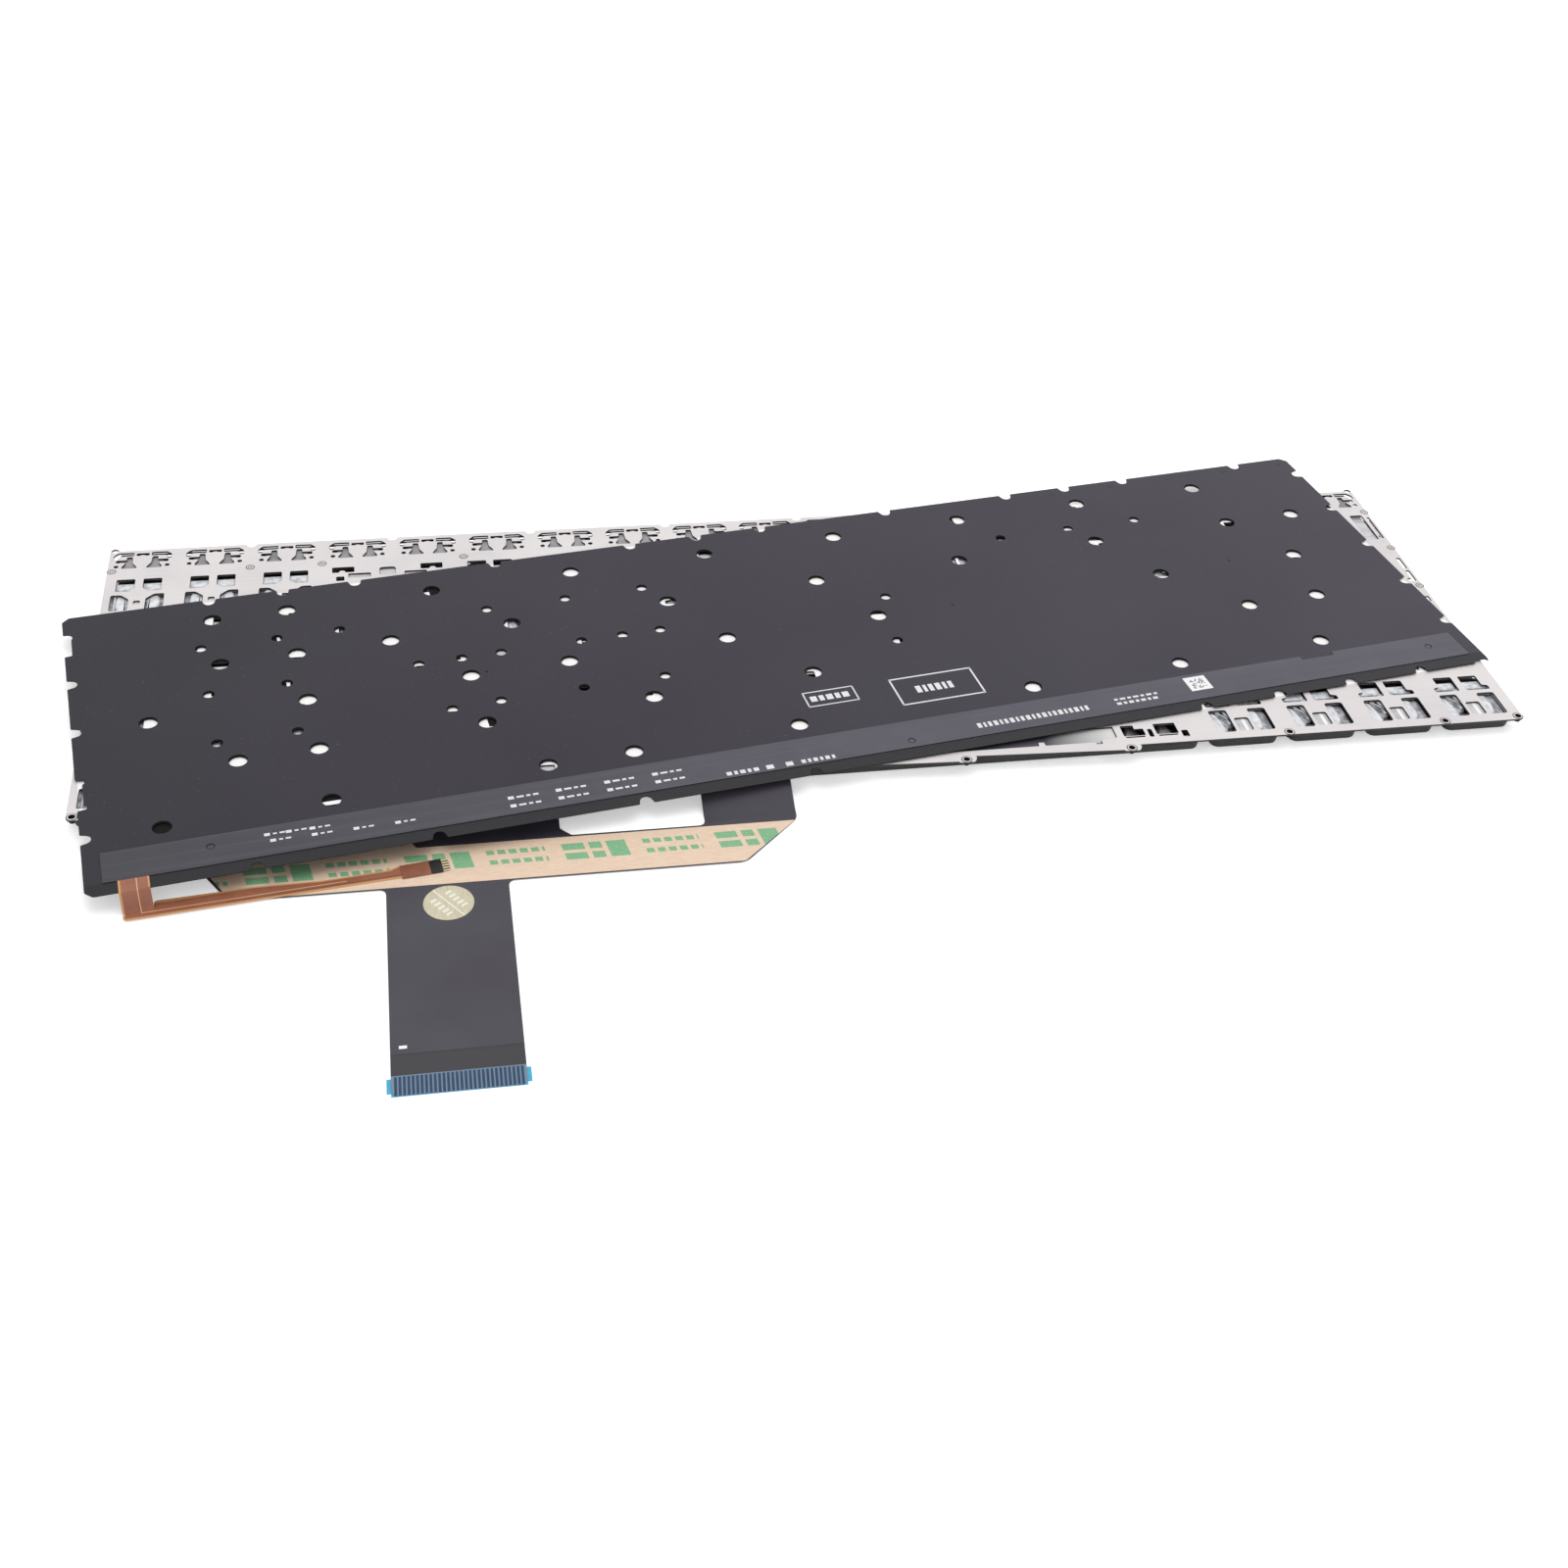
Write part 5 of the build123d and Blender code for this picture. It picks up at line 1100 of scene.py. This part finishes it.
# Painted shade on the plate: black patches where some holes look down into shade. Each is the hole's rough place, and
# the shaded box as shares of its radius across and along.
shaded = ((-78.6, 43.1, -0.3, 1.0, -1.0, 1.0), (-78.6, 43.1, -1.0, -0.3, 0.1, 1.0),
          (-117.6, 31.6, -1.0, 0.0, -1.0, 1.0), (-76.6, -13.7, 0.1, 1.0, -0.6, 1.0),
          (-117.6, 12.6, -1.0, -0.1, -1.0, 1.0), (-147.3, -31.4, -1.0, 1.0, -1.0, 1.0),
          (-113.5, -32.2, -1.0, 1.0, 0.1, 1.0), (-113.5, -32.2, -1.0, 1.0, -1.0, -0.5),
          (-76.3, 12.7, -1.0, -0.1, 0.0, 1.0))
patches = []
for x, y, left, right, near, far in shaded:
    hole_x, hole_y, radius = hole_near(x, y)
    patches.append((hole_x + radius * (left + right) / 2, hole_y + radius * (near + far) / 2, radius * (right - left),
                    radius * (far - near)))
make_piece("plate_dark_patches", print_bars(patches, PLATE_HIGH), black_edge_and_shade)
for name, finish, spot in (("plate_bare_patch", plate_metal, (-91.0, 22.7)),
                           ("plate_film_patch", membrane_film, (-66.9, 12.1))):
    hole_x, hole_y, radius = hole_near(*spot)
    make_piece(name, print_bars([(hole_x, hole_y, 2 * radius, 2 * radius)], PLATE_HIGH), finish)

# Backlight tail.
leg_right = LEG_LEFT + LEG_WIDTH
fold_y, foot_y = -HALF_DEPTH - 0.15, -HALF_DEPTH - 1.95


def smooth_step(value):
    """Zero before 0, one after 1, and three times the square less twice the cube between."""
    t = np.clip(value, 0, 1)
    return t * t * (3 - 2 * t)


def arm_y(x, across=0.0):
    """The arm's near edge, which slants towards the viewer, plus a distance across the arm."""
    return -HALF_DEPTH - ARM_OUT - ARM_SLANT * (x - LEG_LEFT) / ARM_LENGTH + across


def bent_sheet(plan, inner, low, drop):
    """A thin sheet drawn flat on the panel, with each point then lowered by the drop at its place."""
    points, faces = pierced_sheet(divided(plan, 0.6), [], low, low + TAIL_THICKNESS, THIN_EDGE, inner)
    points[:, 2] -= drop(points[:, :2])
    points[:, :2] = on_panel(points[:, :2])
    return points, faces


leg_points = grid_points(np.linspace(LEG_LEFT + 0.6, leg_right - 0.6, 7), np.linspace(fold_y + 0.3, foot_y + 0.15, 16))
leg_plan = rectangle(LEG_LEFT, leg_right, foot_y, strip_near)
leg = bent_sheet(leg_plan, leg_points, FILM_HIGH,
                 lambda spot: (FILM_HIGH - TAIL_LOW) * smooth_step((fold_y + 0.1 - spot[:, 1]) / 1.9))
arm_edge = [(LEG_LEFT, 0.0), (TAIL_END, 0.0), (TAIL_END, 3.8), (TAIL_END - 9.9, 3.8), (TAIL_END - 12.0, 3.0),
            (LEG_LEFT + 39.0, 2.9), (LEG_LEFT + 26.0, 4.2), (leg_right, 4.7)]
arm_plan = rounded(np.array([(x, arm_y(x, across)) for x, across in arm_edge]
                            + [(leg_right, foot_y), (LEG_LEFT, foot_y)]), 1.0)
arm = bent_sheet(arm_plan, None, TAIL_LOW, lambda spot: 0 * spot[:, 0])
make_piece("backlight_tail_film", join([leg, arm]), tail_finish(), stands_for=("backlight_tail",))

# Main cable.
bar_top, bar_low, cable_end = -11.8, -24.6, -81.0
cable_left, cable_right = 64.6, 89.5
bar_left, bar_right = 25.5, 152.4
cable_plan = np.array([(132.3, 2.6), (bar_right, 2.6), (bar_right, bar_top), (bar_right - 13.2, bar_low),
                       (cable_right, bar_low), (cable_right, cable_end), (cable_left, cable_end), (cable_left, bar_low),
                       (bar_left + 8.0, bar_low), (bar_left - 2.5, bar_top + 4.0), (75.9, bar_top + 4.0), (75.9, 2.6),
                       (101.3, 2.6), (101.3, bar_top + 2.3), (103.6, bar_top), (132.3, bar_top)])
corner_radii = np.full((len(cable_plan), 1), 1.6)
corner_radii[13:15] = 0.3
cable_plan = divided(rounded(cable_plan, corner_radii, 5), 0.9)
neck_points = grid_points(np.concatenate([np.arange(76.8, 101, 2.4), np.arange(133.2, 152, 2.4)]),
                          np.arange(1.6, -11, -0.9))
cable_points, cable_faces = pierced_sheet(cable_plan, [], CABLE_LOW, CABLE_HIGH, THIN_EDGE, neck_points)
neck_rise = smooth_step((cable_points[:, 1] + 10.5) / 10.5) * smooth_step((cable_points[:, 0] - 70.0) / 5.9)
cable_points[:, 2] += (MEMBRANE_LOW - CABLE_LOW) * neck_rise
cable_points[:, :2] = on_plate(cable_points[:, :2])
make_piece("keyboard_cable_film", (cable_points, cable_faces), cable_finish(cable_end),
           stands_for=("keyboard_cable",))

liner_plan = rounded(np.array([(bar_left - 1.2, bar_top + 3.4), (69.0, bar_top + 3.4), (71.0, bar_top - 0.6),
                               (bar_right - 0.6, bar_top - 0.6), (bar_right - 13.3, bar_low + 0.3),
                               (bar_left + 8.4, bar_low + 0.3)]), 0.5)
liner = laid_sheet(on_plate, liner_plan, [], CABLE_HIGH, CABLE_HIGH + LINER_THICKNESS)
make_piece("liner_paper_sheet", liner, liner_paper, stands_for=("cable_adhesive_liner",))

sticker_place = np.array([77.05, bar_low - 5.5])
sticker_levels = np.array([0.0, 0.005, 0.03, 0.055, 0.06]) + CABLE_HIGH
sticker = moved(turned_profile([4.9, 5.13, 5.15, 5.13, 4.9], sticker_levels, 64), *on_plate(sticker_place))
make_piece("sticker_disc", sticker, sticker_finish(sticker_place), stands_for=("round_sticker",))

node_finishes = {"space_bar_wire": wire_steel, "leds": led_resin,
                 "code_label": label_finish((88.5, 9.3 - HALF_DEPTH)), "tail_stiffener": tail_end_finish(),
                 "tail_contacts": tail_contact_metal,
                 "cable_stiffener": stiffener_film, "cable_contacts": contact_metal}
for node, finish in node_finishes.items():
    mesh = frame["nodes"][node].data
    mesh.materials.clear()
    mesh.materials.append(finish.material)


# ---------------------------------------------------------------- floor, light and camera

BLACK, WHITE = (0.0, 0.0, 0.0, 1.0), (1.0, 1.0, 1.0, 1.0)
FLOOR_REACH, FLOOR_GREY, FLOOR_GLOW, SKY_LEVEL = 3, 0.9, 0.42, 0.7
SENSOR_WIDTH, FOCAL_PIXELS, PHOTO_PIXELS = 36.0, 1993, 1600


def white_floor():
    mesh = bpy.data.meshes.new("floor")
    corners = rectangle(-FLOOR_REACH, FLOOR_REACH, -FLOOR_REACH, FLOOR_REACH).tolist()
    mesh.from_pydata([(x, y, 0) for x, y in corners], [], [(0, 1, 2, 3)])
    floor = bpy.data.objects.new("floor", mesh)
    bpy.context.scene.collection.objects.link(floor)
    finish = Finish("white floor", Roughness=1.0, Specular_IOR_Level=0.0, Emission_Strength=FLOOR_GLOW)
    finish.surface(Base_Color=(*3 * (FLOOR_GREY,), 1.0), Emission_Color=finish.mix(finish.seen(), BLACK, WHITE))
    mesh.materials.append(finish.material)


def white_world(level):
    """White where it is seen, and a plain grey of the level where it lights the part."""
    world = bpy.data.worlds.new("studio")
    bpy.context.scene.world = world
    world.use_nodes = True
    nodes = Nodes(world.node_tree)
    background = world.node_tree.nodes["Background"]
    nodes.feed(background.inputs["Color"], nodes.mix(nodes.seen(), (*3 * (level,), 1.0), WHITE))


def soft_lamp(name, place, target, size, power):
    light = bpy.data.lights.new(name, "AREA")
    light.shape = "DISK"
    light.size = size
    light.energy = power
    lamp = bpy.data.objects.new(name, light)
    bpy.context.scene.collection.objects.link(lamp)
    way = Vector(target) - Vector(place)
    lamp.matrix_world = Matrix.Translation(place) @ way.to_track_quat("-Z", "Y").to_matrix().to_4x4()
    lamp.visible_glossy = False


white_floor()
white_world(SKY_LEVEL)
soft_lamp("overhead lamp", (0.2, 0.15, 1.4), (0, 0, 0), 1.4, 9.0)

bpy.context.scene.view_settings.view_transform = "Standard"

AZIMUTH, ELEVATION, ROLL, DISTANCE = radians(-12.21), radians(39.0), radians(3.67), 425.6
TARGET = np.array([PLATE_X + 150.49, PLATE_Y - 4.55, PLATE_HIGH])
back = np.array([sin(AZIMUTH) * cos(ELEVATION), -cos(AZIMUTH) * cos(ELEVATION), sin(ELEVATION)])
right = np.cross(-back, (0, 0, 1.0))
right = right / np.linalg.norm(right)
up = np.cross(back, right)
rolled_right = cos(ROLL) * right + sin(ROLL) * up
rolled_up = cos(ROLL) * up - sin(ROLL) * right
place = np.eye(4)
place[:3, 0], place[:3, 1], place[:3, 2] = rolled_right, rolled_up, back
place[:3, 3] = (TARGET + DISTANCE * back) * MM
camera_data = bpy.data.cameras.new("camera")
camera_data.sensor_width = SENSOR_WIDTH
camera_data.lens = FOCAL_PIXELS / PHOTO_PIXELS * SENSOR_WIDTH
camera_data.clip_start = 0.01
camera = bpy.data.objects.new("camera", camera_data)
camera.matrix_world = Matrix(place.tolist())
bpy.context.scene.collection.objects.link(camera)
bpy.context.scene.camera = camera
